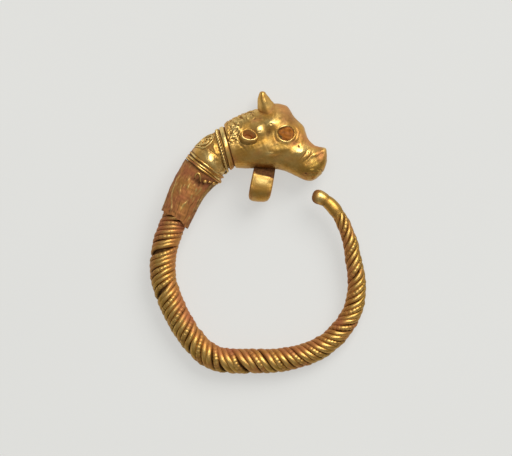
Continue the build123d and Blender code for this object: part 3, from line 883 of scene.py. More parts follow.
class EARRING_OT_sleeve(bpy.types.Operator):
    """Wrap the worn sheet sleeve round the hoop's thick end, with its overlap, creases and torn edge"""

    bl_idname = "earring.sleeve"
    bl_label = "Wrap the sleeve"

    def execute(self, context):
        size = sizes_in_mm()
        line = HoopLine(size)
        end = line.collar_start - SLEEVE_GAP
        stained = gold_material("gold_of_sleeve", drift=1.2, brightness=0.20, matte=0.45, crumple=1.0)
        piece("sleeve_sheet", [self.sheet(size, line, end)], stained, "sleeve", crease=50)

        remains = []
        for lift, radius, blunt, path in SLEEVE_REMAINS:
            share, angle = fine_rows(path, 14 * (len(path) - 1) + 1).T
            place, turn = end + (share - 1) * size.sleeve_length, np.radians(angle)
            swell = np.sin(np.pi * np.linspace(0.02, 0.98, len(share))) ** blunt
            remains.append(line.wire(place, turn, self.flared(size, share) + lift, radius * swell, sides=14,
                                     crest=0.5, stain=0.45))
        piece("sleeve_wire_remains", remains, gold_material("gold_of_remains", drift=1.0, brightness=0.6),
              "sleeve")
        return {"FINISHED"}

    def flared(self, size, rise):
        """Radius of the sleeve: it fits the hoop below and flares by its rise to the power 1.5."""
        fitted = size.stem_diameter / 2 + SLEEVE_ROOM + size.sleeve_wall
        return fitted + (size.sleeve_flare / 2 - fitted) * np.maximum(rise, 0) ** 1.5

    def creased(self, degrees, rise):
        """Height of the creases, bells across lines that lean and sway, and the raised ones' wear with a
        painted highlight.
        """
        crease, rubbed = 0, 0
        for middle, slope, start, until, height in SLEEVE_CREASES:
            sway = slope * (rise - (start + until) / 2) + 2.5 * np.sin(19.0 * rise + middle)
            shown = ease(rise, start, start + 0.12) * (1 - ease(rise, until - 0.12, until))
            ridge = shown * bell(from_middle(degrees, middle + sway) / 2.8)
            crease = crease + 1.5 * height * ridge
            # The raised creases' wear is also a painted highlight
            rubbed = rubbed + (height > 0) * ridge
        return crease, rubbed

    def sheet(self, size, line, end):
        """The flaring sheet with its lap, creases, streaks and dents, and the same again inside it."""
        share, around = turn_grid(np.linspace(0, 1, 90), 200)
        degrees = np.degrees(around)
        inner = (0.5 - 0.5 * np.cos(around)) ** 3
        torn = straight(SLEEVE_EDGE, degrees) * size.sleeve_length
        torn = torn + 0.05 * np.sin(8 * around + 1.3) + 0.015 * np.sin(19 * around)
        bottom = end - np.minimum(torn, size.sleeve_length)
        top = end + (COLLAR_FOOT + COLLAR_SAG * inner) * size.collar_length
        length = bottom + (top - bottom) * share
        rise = (length - end) / size.sleeve_length + 1
        wrapped = ((around - np.radians(LAP_ANGLE)) % TAU) / TAU
        radius = self.flared(size, np.minimum(rise, 1)) + 0.10 * inner * ease(rise, 0.70, 0.95)
        radius = radius + SLEEVE_LAP * wrapped + SLEEVE_LAP_START
        crease, rubbed = self.creased(degrees, rise)
        flat_points = line.ring_points(length, around, radius)
        rough = lumps(flat_points, 0.30, 13)
        stretched = np.stack([radius * np.cos(around), 0.30 * length, radius * np.sin(around)], -1)
        streaks = lumps(stretched, 0.17, 16)
        radius = radius + crease + 0.012 * lumps(flat_points, 1.1, 11) + 0.007 * rough + 0.008 * streaks
        hole, hollow = (bell((degrees - angle) / half, (rise - place) / reach)
                        for angle, place, half, reach in (SLEEVE_HOLE, SLEEVE_HOLLOW))
        radius = radius - HOLE_DEPTH * hole - HOLLOW_DEPTH * hollow
        outside = line.ring_points(length, around, radius)
        inside = line.ring_points(length, around, radius - max(size.sleeve_wall, 0.04))

        olive_strip = ease(degrees, LAP_ANGLE - 6, LAP_ANGLE + 4) * (1 - ease(degrees, 205, 230))
        red = 1.0 - 0.75 * olive_strip * ease(rise, 0.15, 0.6) + 0.10 * lumps(outside, 0.9, 12)
        patches = ease(lumps(outside, 0.9, 14), -0.4, 0.8)
        worn = np.clip(0.80 * rubbed + 0.80 * patches * ease(streaks, 0.5, 1.4), 0, 1) * (1 - hole)
        lap = bell((degrees - LAP_ANGLE) / 3.0)
        mottled = ease(lumps(outside, 0.50, 15), 0.2, 1.6)
        # Painted shade in the torn hole and the hollow; darker along the lap and in mottles
        soil = 0.95 * hole + 0.85 * hollow + 0.60 * lap * ease(rise, 0.1, 0.3) + 0.30 * mottled
        soil = soil + 0.6 * ease(-crease, 0.006, 0.03) + 0.12 * ease(-rough, 0, 1)
        soil = soil + 0.40 * ease(-streaks, 0.5, 1.4) + 0.12 * (1 - ease(rise, 0.1, 0.7))
        # Painted shade on the sides that turn away from the eye
        soil = soil + 0.28 * ease(np.abs(np.cos(around)), 0.80, 1.0)
        # Painted shade in a band under the collar's edge
        soil = np.maximum(soil, 0.7 * ease(length - top, -0.30, -0.05))
        looks = {"stain": red, "film": 0.8 * olive_strip, "worn": worn, "soil": soil}
        looks = {key: np.concatenate([seen, seen[::-1]]) for key, seen in looks.items()}
        looks["soil"][len(soil):] = 0.9  # the inside is painted dark all over, as shade
        return surface(np.concatenate([outside, inside[::-1]]), close_rows=True, **looks)


def collar_place(size, line, share, around, sag=COLLAR_SAG):
    """Length along the hoop of a place on the collar.

    The lower edge reaches up the hoop's inner side by the cube of half (1 - cos a), fading towards the head.
    """
    reach = sag * (0.5 - 0.5 * np.cos(around)) ** 3 * (1 - share)
    return line.collar_start + (share + reach) * size.collar_length


def collar_sheet(size, share, around):
    """Radius of the collar's sheet: its outline, relief, a fold on both sides and a flatter outer side."""
    table = np.array(COLLAR, float)
    radius = smooth(table[:, 0], table[:, 1], share) * size.collar_diameter / 2
    for middle, flip in ((90, 1), (270, -1)):
        turn = from_middle(np.degrees(around), middle) * flip
        fold = bell((share - 0.56 - 0.004 * (turn + 14)) / 0.030, (turn + 10) / 18)
        radius = radius + bumps(share, turn, COLLAR_RELIEF) - 0.06 * fold
    return radius - 0.10 * ease(np.cos(around), 0.3, 1.0) * (1 - ease(share, 0.06, 0.26))


class EARRING_OT_collar(bpy.types.Operator):
    """Turn the collar with its wires, boss, ornament, rope-twisted wire and neck ring"""

    bl_idname = "earring.collar"
    bl_label = "Turn the collar"

    def execute(self, context):
        size = sizes_in_mm()
        line = HoopLine(size)
        bore = size.stem_diameter / 2 + BORE_ROOM
        ornament = [self.strand(size, line, np.array(path) * (1, half), ORNAMENT_WIRE, 0.25)
                    for half in (1, -1) for path in COLLAR_ORNAMENT]
        ornament.append(self.strand(size, line, COLLAR_BEAD, BEAD_RADIUS, 0.5))
        collar_gold = gold_material("gold_of_collar", drift=1.0, brightness=0.62)
        for name, surfaces in (("collar_sheet", [self.sheet(size, line, bore)]),
                               ("collar_wires", self.wires(size, line)),
                               ("collar_ornament", ornament),
                               ("neck_ring", [self.neck_ring(size, line, bore)])):
            piece(name, surfaces, collar_gold, "collar")
        return {"FINISHED"}

    def sheet(self, size, line, bore):
        """The dented drum of sheet, closed inside by its bore and a tongue that reaches into the sleeve."""
        share, around = turn_grid(np.linspace(COLLAR_FOOT, 1, 110), 220)
        length = collar_place(size, line, share, around)
        radius = collar_sheet(size, share, around)
        raw = line.ring_points(length, around, radius)
        dents = 0.016 * lumps(raw, 0.7, 21) + 0.010 * lumps(raw, 0.25, 22)
        outside = line.ring_points(length, around, radius + dents * ease(share, 0.22, 0.4))
        foot = length[:1]
        hidden_length = np.concatenate([length[::-10], foot - TONGUE, foot - TONGUE, foot])
        hidden_radius = np.full(hidden_length.shape, bore)
        hidden_radius[-2:] = size.sleeve_flare / 2 - size.sleeve_wall - 0.10
        inside = line.ring_points(hidden_length, around[:len(hidden_length)], hidden_radius)

        beside_rope = bell((np.abs(share - ROPE_ALONG - ROPE_LEAN * np.cos(around)) - 0.055) / 0.022)
        soil = 0.7 * beside_rope + 0.5 * ease(-dents, 0.004, 0.03) + ease(share, 0.985, 1.0)
        for place, sag, thick, _ in COLLAR_WIRES:
            from_wire = np.abs(length - collar_place(size, line, place, around, sag))
            soil = soil + 0.9 * bell((from_wire - thick) / 0.05)
        across = np.abs((np.degrees(around) + 90) % 180 - 90)
        inner = -np.cos(around)
        # Wear with painted highlights on the boss, the facet and the ornament's field, and a lighter inner
        # side
        worn = bumps(share, across, COLLAR_WORN_AND_HIGHLIGHTS) + 0.4 * ease(inner, 0.3, 0.8) * (share > 0.2)
        stain = 0.25 + 0.30 * lumps(raw, 1.0, 23) + 0.15 * ease(inner, 0.2, 0.9)
        return lined(outside, inside, soil=soil, stain=stain, film=0.12 * ease(inner, -0.1, 0.6), worn=worn)

    def wires(self, size, line):
        """The plain wires round the lower edge, a little slack and uneven, and the rope's two strands."""
        turn = full_turn(240)
        made = []
        for index, (place, sag, thick, lift) in enumerate(COLLAR_WIRES):
            slack = 0.014 * np.sin(3 * turn + index) + 0.010 * np.sin(7 * turn + 2 * index)
            reach = collar_sheet(size, np.full_like(turn, place), turn)
            reach = reach + lift - 0.06 * ease(np.cos(turn), 0.2, 1.0)
            uneven = 1 + 0.10 * np.sin(5 * turn + index) + 0.05 * np.sin(11 * turn)
            dull = 0.45 * (index == 0)
            made.append(line.wire(
                collar_place(size, line, place, turn, sag) + slack, turn, reach, thick * uneven, sides=12,
                closed=True, flat=0.15, stain=0.20 + dull + 0.35 * waver(turn, 1.3, 25 + index),
                worn=(0.9 - dull) * ease(waver(turn, 0.9, 35 + index), -0.4, 0.8)))
        turn = full_turn(720)
        share = ROPE_ALONG + ROPE_LEAN * np.cos(turn)
        at = line.collar_start + share * size.collar_length
        reach = collar_sheet(size, share, turn) + 0.07 + NECK_OFFSET * np.cos(turn)
        for start in (0, np.pi):
            twist = ROPE_TURNS * turn + start
            sideways, upward = ROPE_TWIST * np.cos(twist), ROPE_TWIST * np.sin(twist)
            middle = line.ring_points(at + sideways, turn, reach + upward)
            # A strand carries a painted highlight where it comes up and painted shade where it goes under the
            # other
            above = ease(np.sin(twist), -0.2, 0.9)
            made.append(tube(middle, line.outward(at, turn), ROPE_STRAND, sides=8, closed=True,
                             stain=0.3 * (1 - above), soil=0.75 * (1 - above), worn=above))
        return made

    def strand(self, size, line, path, radius, blunt):
        """A round wire through places on the collar, its ends rounded off by a power of a half sine."""
        share, angle = fine_rows(path, 16 * (len(path) - 1) + 1).T
        turn = np.radians(angle)
        taper = np.sin(np.pi * np.linspace(0.04, 0.96, len(share))) ** blunt
        return line.wire(collar_place(size, line, share, turn), turn,
                         collar_sheet(size, share, turn % TAU) + 0.5 * radius, radius * taper,
                         flat=0.2, crest=0.9, stain=0.1, worn=0.8)

    def neck_ring(self, size, line, bore):
        """A rounded band turned round the neck, a little out of true."""
        steps = fine_rows(NECK_RING, 33)
        place, around = turn_grid(steps[:, 0], 160)
        reach = steps[:, 1:] * size.neck_ring_diameter / 2 + NECK_OFFSET * np.cos(around)
        reach = reach + 0.018 * np.sin(4 * around + 1) + 0.010 * np.sin(9 * around)
        length = line.neck + 0.03 + place * size.neck_ring_width
        points = line.ring_points(length, around, reach)
        # Darker at the ring's edges; a painted highlight on its outer side
        soil = 0.9 * ease(np.abs(place - 0.5), 0.40, 0.52)
        bored = line.ring_points(length[::-8], around[::-8], bore)
        return lined(points, bored, soil=soil, stain=0.25 + 0.3 * lumps(points, 1.1, 31),
                     worn=ease(np.cos(around), -0.2, 0.4) * (1 - soil))


def creases(x, y):
    """Sum of curved creases: height times exp(-((distance - radius) / width)^2), fading at both ends."""
    total = np.zeros_like(x)
    for middle_x, middle_y, radius, start, end, width, height in CREASES:
        right, up = x - middle_x, y - middle_y
        off = np.abs(from_middle(np.degrees(np.arctan2(up, right)), (start + end) / 2))
        shown = 1 - ease(off, (end - start) / 2 - 18, (end - start) / 2 + 6)
        total += height * shown * bell((np.hypot(right, up) - radius) / width)
    return total


def hair(points):
    """Locks behind the ear, as uneven lumps, and short strokes set across the back of the neck."""
    x, y = points[..., 0], points[..., 1]
    behind = ease(x, -2.60, -2.35) * (1 - ease(x, -1.75, -1.25)) * ease(y, 9.2, 9.9)
    back = (1 - ease(x, -0.60, 0.10)) * ease(y - 0.40 * x, 11.45, 11.85) * ease(x, -2.75, -2.45)
    crumple = np.tanh(1.6 * lumps(points, 0.34, 53)) + 0.5 * lumps(points, 0.17, 54)
    along = 0.93 * x + 0.37 * y
    strokes = np.sin(TAU * along / 0.34 + 2.2 * lumps(points, 0.8, 56))
    strokes = strokes * ease(lumps(points, 0.5, 57), -0.8, 0.4)
    return 0.065 * behind * (1 - back) * crumple + 0.055 * back * strokes + 0.016 * back * crumple


def muzzle_marks(points):
    """Nostril hollows and the mouth's line round the front of the muzzle, as depths."""
    x, y, z = np.moveaxis(points, -1, 0)
    depth = 0
    for middle_x, middle_y, middle_z, reach, deep in MUZZLE_HOLLOWS:
        depth = depth + deep * bell(*np.stack([x - middle_x, y - middle_y, np.abs(z) - middle_z]) / reach)
    mouth = MOUTH_HEIGHT + 0.12 * (z / 0.8) ** 2 + 0.02 * np.sin(9 * z)
    return depth + 0.055 * bell((y - mouth) / 0.055) * ease(x, 4.5, 4.8)


def grid_normals(points):
    """Outward normals of a grid whose columns join up."""
    across = np.roll(points, -1, axis=1) - np.roll(points, 1, axis=1)
    return unit(np.cross(across, np.gradient(points, axis=0)))


class HeadForm:
    """The head's skin as a grid, with its normals and the depth of its modelling."""

    def __init__(self, size, rows=236, columns=420):
        row = fine_rows(HEAD, rows)[:, None]
        top, jaw = row[..., 0:2], row[..., 2:4]
        turn = self.even_turns(columns)
        high, wide = squarish(np.cos(turn), 2 / row[..., 5]), squarish(np.sin(turn), 2 / row[..., 5])
        x, y = np.moveaxis((top + jaw) / 2 + (top - jaw) / 2 * high[..., None], -1, 0)
        base = np.stack([x, y, np.maximum(row[..., 4], 0) * wide], -1)
        normal = grid_normals(base)
        side = ease(np.abs(normal[..., 2]), 0.10, 0.55)
        height = (bumps(x, y, CHEEK) + creases(x, y)) * side
        for pit_x, pit_y, radius, depth in PITS:
            height -= depth * side * (base[..., 2] > 0) * bell((x - pit_x) / radius, (y - pit_y) / radius)
        from_eye = np.hypot((x - EYE_PLACE[0]) / EYE_OVAL[0], (y - EYE_PLACE[1]) / EYE_OVAL[1])
        opening = size.eye_opening / 2
        socket = 1 - ease(from_eye, opening - 0.03, opening + 0.05)
        seat = bell((from_eye - opening - size.eye_rim / 2) / 0.15)
        height = height * (1 - socket) + (EYE_SEAT * seat - EYE_SINK * socket) * side
        along, across = along_and_across(x, y, EAR_PLACE, EAR_TURN)
        from_ear = np.hypot(2 * along / size.ear_length, 2 * across / size.ear_breadth)
        height = height - EAR_SINK * side * (1 - ease(from_ear, 0.78, 0.95))
        unevenness = 0.012 * lumps(base, 0.9, 51) + 0.006 * lumps(base, 0.35, 52)
        height = height + hair(base) + unevenness * (1 - socket)
        nose = ease(np.arange(rows), rows * 0.93, rows)[:, None]
        self.height = height * (1 - nose) - muzzle_marks(base)
        self.points = base + normal * self.height[..., None]
        self.normal = grid_normals(self.points)
        self.socket = socket * side
        self.x, self.y = x, y

    @staticmethod
    def even_turns(columns):
        """Angles round a squared oval that space its points evenly along it."""
        dense = np.linspace(0, TAU, 4001)
        oval = np.stack([2.3 * squarish(np.cos(dense), 2 / 2.4), 1.8 * squarish(np.sin(dense), 2 / 2.4)], -1)
        run = run_along(oval)
        return np.interp(np.arange(columns) / columns * run[-1], run, dense)

    def hollows(self):
        """How far each place lies below its surroundings: its neighbours' mean height less its own."""
        mean = self.height
        for _ in range(6):
            mean = (np.roll(mean, 2, axis=1) + np.roll(mean, -2, axis=1) + mean) / 3
            mean = (np.concatenate([mean[2:], mean[-2:]]) + np.concatenate([mean[:2], mean[:-2]]) + mean) / 3
        return ease(mean - self.height, 0.006, 0.050)

    def spots(self, x, y, side):
        """Points and normals of the skin nearest to places seen from one side."""
        near = (np.abs(self.x - np.mean(x)) < 1.5) & (np.abs(self.y - np.mean(y)) < 1.5)
        near &= self.points[..., 2] * side > 0
        points, normals = self.points[near], self.normal[near]
        gap = (points[:, 0] - np.reshape(x, (-1, 1))) ** 2 + (points[:, 1] - np.reshape(y, (-1, 1))) ** 2
        nearest = np.argmin(gap, axis=1)
        return points[nearest], normals[nearest]


class EARRING_OT_head(bpy.types.Operator):
    """Raise the head with its cheeks, muzzle, hair, horns, ears and eyes"""

    bl_idname = "earring.head"
    bl_label = "Raise the head"

    def execute(self, context):
        size = sizes_in_mm()
        head_gold = gold_material("gold_of_head", drift=1.3, brightness=0.55, matte=0.5)
        form = HeadForm(size)
        pair = (1, -1)
        for name, surfaces in (("head_skin", [self.skin(form), self.throat(size)]),
                               ("horns", [self.horn(side) for side in pair]),
                               ("ears", [self.ear(size, form, side) for side in pair]),
                               ("eye_rims", [self.eye_rim(size, form, side) for side in pair])):
            piece(name, surfaces, head_gold, "head")
        return {"FINISHED"}

    def skin(self, form):
        """The head's skin with the spots of its tables, darker in its hollows, painted shade in the eye's
        socket and a dull film with painted shade where it turns away from the eye.
        """
        hollows = form.hollows()
        # Painted shade where the skin turns away from the eye
        away = 1 - ease(np.abs(form.normal[..., 2]), 0.05, 0.62)
        film, worn, stain, soil = (bumps(form.x, form.y, table)
                                   for table in (HEAD_FILMS_AND_SHADE, HEAD_WORN_AND_HIGHLIGHTS, HEAD_STAINS, HEAD_SHADE))
        worn = np.clip(worn * (1 - hollows), 0, 1)
        return surface(form.points, soil=0.85 * hollows + form.socket + soil * (1 - worn),
                       stain=stain + 0.16 * lumps(form.points, 1.1, 55), film=film + 0.35 * away, worn=worn)

    def throat(self, size):
        """A short drum, painted dark all over as shade, that closes the groove between the neck ring and the
        head.
        """
        line = HoopLine(size)
        start = line.neck + 0.7 * size.neck_ring_width
        length, around = turn_grid(np.linspace(start, start + THROAT_LENGTH, 5), 80)
        points = line.ring_points(length, around, THROAT_RADIUS + NECK_OFFSET * np.cos(around))
        return surface(points, soil=1.0, stain=1.0)

    def horn(self, side):
        """A three-cornered oval carried along a bowed line from the root to the point."""
        steps = fine_rows(HORN, 64)
        share = steps[:, :1]
        bow = 4 * share * (1 - share) * HORN_BOW
        line = (HORN_ROOT + share * (HORN_TIP - HORN_ROOT) + bow) * (1, 1, side)
        ahead = unit(np.gradient(line, axis=0))
        outward = square_to(np.array([-0.05, 0.0, side]), ahead)
        sideways = np.cross(ahead, outward)
        turn = full_turn(56)
        ridge = 1 + 0.11 * np.cos(3 * turn)
        out, aside = (0.92 * ridge * np.cos(turn))[:, None], (1.03 * ridge * np.sin(turn))[:, None]
        oval = outward[:, None] * out + sideways[:, None] * aside
        points = line[:, None] + np.maximum(steps[:, 1], 0.015)[:, None, None] * oval
        points = points + (0.012 * lumps(points, 0.5, 61))[..., None] * unit(points - line[:, None])
        foot = 1 - ease(share, 0.0, 0.30)
        # A dull film with painted shade on the side turned away from the eye; stained and darker at the root
        away = 1 - ease(np.cos(turn), -0.2, 0.5)
        return surface(points, stain=0.55 * foot, soil=0.20 * foot, film=0.45 * away + 0.35 * foot)

    def ear(self, size, form, side):
        """A cup's outline carried round an oval that narrows forwards, its rim thicker below."""
        place, normal = (found[0] for found in form.spots([EAR_PLACE[0]], [EAR_PLACE[1]], side))
        normal = unit(0.8 * side * UP + 0.2 * normal)
        place = place + normal * EAR_SINK
        lean = np.radians(EAR_TURN)
        first = square_to(np.array([np.cos(lean), np.sin(lean), 0.0]), normal)
        second = np.cross(normal, first)
        steps = fine_rows(EAR_CUP, 64)
        turn = full_turn(120)
        reach, rise = steps[:, :1], steps[:, 1:]
        index = np.arange(len(steps))[:, None] / len(steps)
        inner = ease(index, 0.42, 0.60)
        below = ease(-np.sin(turn * side), -0.3, 0.9)
        narrow = 1 - 0.20 * np.cos(turn)
        long = reach * size.ear_length / 2 * np.cos(turn)
        broad = (reach * size.ear_breadth / 2 - 0.05 * below * inner) * narrow * np.sin(turn)
        broad = broad + np.clip(rise, 0, 1) * EAR_LEAN * side
        lift = 0.55 - 0.09 * np.cos(turn) + 0.36 * below
        rise = rise * np.where(rise > 0, lift, 1) * size.ear_rise
        points = place + first * long[..., None] + second * broad[..., None] + normal * rise[..., None]
        points = points + 0.008 * lumps(points, 0.3, 71)[..., None] * normal
        # The hollow is stained and darker towards one end; the outer wall below has a dull film with painted
        # shade, and the lower lip a painted highlight
        depth = ease(index, 0.51, 0.59)
        corner = bell(((turn * side + np.pi) % TAU - np.pi - 0.2) / 0.6)
        wall = 1 - ease(index, 0.12, 0.40)
        lip = bell((index - 0.48) / 0.13) * (0.10 + 0.80 * below)
        return surface(points, stain=0.65 * depth, film=0.9 * wall, worn=lip,
                       soil=depth * (0.12 + 0.36 * corner) + 0.40 * wall * below)

    def eye_rim(self, size, form, side):
        """A flattened ring of wire round the eye, thicker above and below."""
        turn = full_turn(120) * side
        reach = size.eye_opening / 2 + size.eye_rim * 0.40
        reach = reach + 0.018 * np.sin(3 * turn) + 0.012 * np.sin(5 * turn + 1)
        wide, tall = EYE_OVAL[0] * np.cos(turn), EYE_OVAL[1] * np.sin(turn)
        skin, _ = form.spots(EYE_PLACE[0] + 1.2 * reach * wide, EYE_PLACE[1] + 1.2 * reach * tall, side)
        level = sum(np.roll(skin[:, 2], shift) for shift in (0, 3, -3, 6, -6)) / 5
        line = np.stack([EYE_PLACE[0] + reach * wide, EYE_PLACE[1] + reach * tall, level - 0.01 * side], -1)
        # Wear with a painted highlight above and below; duller at the sides
        return tube(line, side * UP, size.eye_rim * (0.30 + 0.20 * np.sin(turn) ** 2), sides=12, closed=True,
                    flat=0.1, worn=0.9 * np.sin(turn) ** 2, film=np.cos(turn) ** 2)


class EARRING_OT_eyes(bpy.types.Operator):
    """Fill the eyes with their dull reddish-brown filling"""

    bl_idname = "earring.eyes"
    bl_label = "Fill the eyes"

    def execute(self, context):
        size = sizes_in_mm()
        filling = filling_material("filling_of_eyes")
        form = HeadForm(size)
        for side, node in ((1, "eye_fill_left"), (-1, "eye_fill_right")):
            name = node.replace("eye_fill", "eye_filling")
            piece(name, [self.filled(size, form, side)], filling, node)
        return {"FINISHED"}

    def filled(self, size, form, side):
        """An uneven oval disc, lower at its lower left, with a short skirt round it."""
        share = np.linspace(1, 0.02, 30)[:, None]
        turn = full_turn(72)
        radius = (size.eye_opening / 2 + 0.03) * share
        x = EYE_PLACE[0] + EYE_OVAL[0] * radius * np.cos(turn)
        y = EYE_PLACE[1] + side * EYE_OVAL[1] * radius * np.sin(turn)
        skin, _ = form.spots([EYE_PLACE[0]], [EYE_PLACE[1]], side)
        lower = ease((EYE_PLACE[1] - y) + 0.6 * (EYE_PLACE[0] - x), 0.28, 0.55)
        uneven = lumps(np.stack([x, y, 0 * x], -1), 0.35, 81)
        level = abs(skin[0, 2]) + FILLING_LIFT - 0.07 * lower + 0.018 * uneven
        top = np.stack([x, y, side * level], -1)
        skirt = top[:1] - 0.15 * side * UP
        # Painted shade: darker at the lower left and round the edge under the rim; the skirt is dark all over
        soil = np.clip(0.6 * lower + ease(share, 0.88, 1.0), 0, 1)
        return surface(np.concatenate([skirt, top]), soil=np.concatenate([np.ones_like(soil[:1]), soil]))


class EARRING_OT_chin_loop(bpy.types.Operator):
    """Bend the strip under the jaw that takes the hoop's tip"""

    bl_idname = "earring.chin_loop"
    bl_label = "Bend the chin loop"

    def execute(self, context):
        loop_gold = gold_material("gold_of_loop", drift=0.9, brightness=0.55)
        piece("chin_loop", [self.strip(sizes_in_mm())], loop_gold, "head")
        return {"FINISHED"}

    def strip(self, size):
        """A flat section with thick borders carried down one leg, round a half circle and up the other."""
        bend = (size.loop_spread - size.loop_strip) / 2
        leg = size.loop_drop - size.loop_spread / 2
        down = np.linspace(-LOOP_ROOT, leg, 34)
        arc = np.linspace(0, np.pi, 40)[1:-1]
        across = np.concatenate([np.full(len(down), bend), bend * np.cos(arc), np.full(len(down), -bend)])
        drop = np.concatenate([down, leg + bend * np.sin(arc), down[::-1]])[:, None]
        slant = np.radians(LOOP_SLANT)
        fall = np.array([-np.sin(slant), -np.cos(slant), 0.0])
        bent_in = 1 - 0.64 * ease(-drop, -0.52, 0.02)
        line = np.array([*LOOP_PLACE, 0.0]) + drop * fall + across[:, None] * bent_in * UP
        sideways = np.broadcast_to([-np.cos(slant), np.sin(slant), 0.0], line.shape)
        outward = np.cross(sideways, unit(np.gradient(line, axis=0)))
        turn = full_turn(72)
        wide, thick = squarish(np.sin(turn), 0.30), squarish(np.cos(turn), 0.60)
        outer = np.maximum(thick, 0)
        border = outer * bell((np.abs(wide) - 0.90) / 0.12)
        rounding = ease(drop, 0.86 * size.loop_drop, 1.02 * size.loop_drop)
        half_width = size.loop_width / 2 * (1.0 + 0.045 * np.sin(drop * 1.1) - 0.14 * rounding**2)
        bulge = 0.09 * bell((drop - 1.15) / 0.55) * outer * (1 - wide**2)
        plate = 0.05 * ease(drop, 0.58, 0.68) * outer
        height = size.loop_strip / 2 * thick + 0.035 * border + bulge + plate
        points = line[:, None] + outward[:, None] * height[..., None]
        points = points + sideways[:, None] * (half_width * wide)[..., None]
        cut = 0.08 + 0.24 * wide**4 - 0.10 * wide
        points = points - (ease(drop, 0.5 * size.loop_drop, size.loop_drop) * cut)[..., None] * fall
        points = points + 0.010 * lumps(points, 0.6, 91)[..., None] * outward[:, None]

        # Painted shade: a dark band under the jaw, where the strip tucks in under it
        shadowed = 1 - ease(drop + 0.06 * wide + 0.04 * lumps(points, 0.5, 93), 0.50, 0.68)
        beside = bell((np.abs(wide) - 0.72) / 0.06) * (thick > 0.3)
        # A dull film with painted shade on the lower leg and the bend, which face down
        film = ease(drop, 1.35, 2.2) * (1 - ease(drop, 2.55, 2.7))
        # The inner face is painted dark as shade, and a painted highlight with wear lies high on the outer
        # face; darker beside the borders
        return surface(points, soil=1.10 * shadowed + 0.8 * ease(-thick, 0.2, 0.8) + 0.25 * beside,
                       stain=0.10 + 0.8 * shadowed + 0.25 * lumps(points, 1.0, 92),
                       film=np.maximum(0.55 * film, shadowed),
                       worn=0.8 * bell((drop - 1.05) / 0.34) * (1 - wide**2) * (thick > 0))


class Nodes:
    """Short ways to add and join the nodes of a material."""

    def __init__(self, name):
        self.material = bpy.data.materials.new(name)
        self.material.use_nodes = True
        self.tree = self.material.node_tree
        self.shader = self.tree.nodes["Principled BSDF"]
        self.place = self.tree.nodes.new("ShaderNodeTexCoord").outputs["Object"]

    def put(self, value, socket):
        """Links an output to an input, or sets a number or a colour on it."""
        if hasattr(value, "node"):
            self.tree.links.new(value, socket)
        else:
            socket.default_value = (*value, 1.0) if socket.type == "RGBA" else value

    def shade(self, **inputs):
        """Puts values on the shader's inputs."""
        for key, value in inputs.items():
            self.put(value, self.shader.inputs[key.replace("_", " ")])

    def add(self, kind, **inputs):
        """A node with values put on its inputs."""
        node = self.tree.nodes.new("ShaderNode" + kind)
        for key, value in inputs.items():
            self.put(value, node.inputs[key.replace("_", " ")])
        return node

    def noise(self, size_mm, detail=4.0, roughness=0.6):
        """Noise whose lumps are about a size in millimetres."""
        node = self.add("TexNoise", Scale=1 / (size_mm * MM), Detail=detail, Roughness=roughness,
                        Vector=self.place)
        return node.outputs["Fac"]

    def attribute(self, name):
        """A value stored on the piece."""
        node = self.add("Attribute")
        node.attribute_name = name
        return node.outputs["Fac"]

    def spread(self, value, low, high, to_low=0.0, to_high=1.0):
        """A value's range stretched onto another, held at its ends."""
        node = self.add("MapRange", Value=value, From_Min=low, From_Max=high, To_Min=to_low, To_Max=to_high)
        return node.outputs["Result"]

    def broken(self, name, noise, low, high, least):
        """A value stored on the piece, weaker where a noise is low."""
        return self.maths("MULTIPLY", self.attribute(name), self.spread(noise, low, high, least, 1.0))

    def maths(self, kind, first, second):
        """Arithmetic of two values, held between 0 and 1; the second may be a number."""
        node = self.add("Math")
        node.operation = kind
        node.use_clamp = True
        self.put(first, node.inputs[0])
        self.put(second, node.inputs[1])
        return node.outputs["Value"]

    def weighed(self, *parts):
        """Sum of two values, each times its weight."""
        return self.maths("ADD", *(self.maths("MULTIPLY", value, weight) for value, weight in parts))

    def blend(self, share, first, second):
        """Two colours mixed by a value; each may be a colour or an output."""
        node = self.tree.nodes.new("ShaderNodeMix")
        node.data_type = "RGBA"
        self.put(share, node.inputs["Factor"])
        for key, colour in (("A", first), ("B", second)):
            self.put(colour, next(one for one in node.inputs if one.name == key and one.type == "RGBA"))
        return next(one for one in node.outputs if one.type == "RGBA")

    def relief(self, parts, distance_mm):
        """Bump from several (value, strength) pairs, laid one on another."""
        below = {}
        for value, strength in parts:
            node = self.add("Bump", Strength=strength, Distance=distance_mm * MM, Height=value, **below)
            below = {"Normal": node.outputs["Normal"]}
        self.shade(**below)


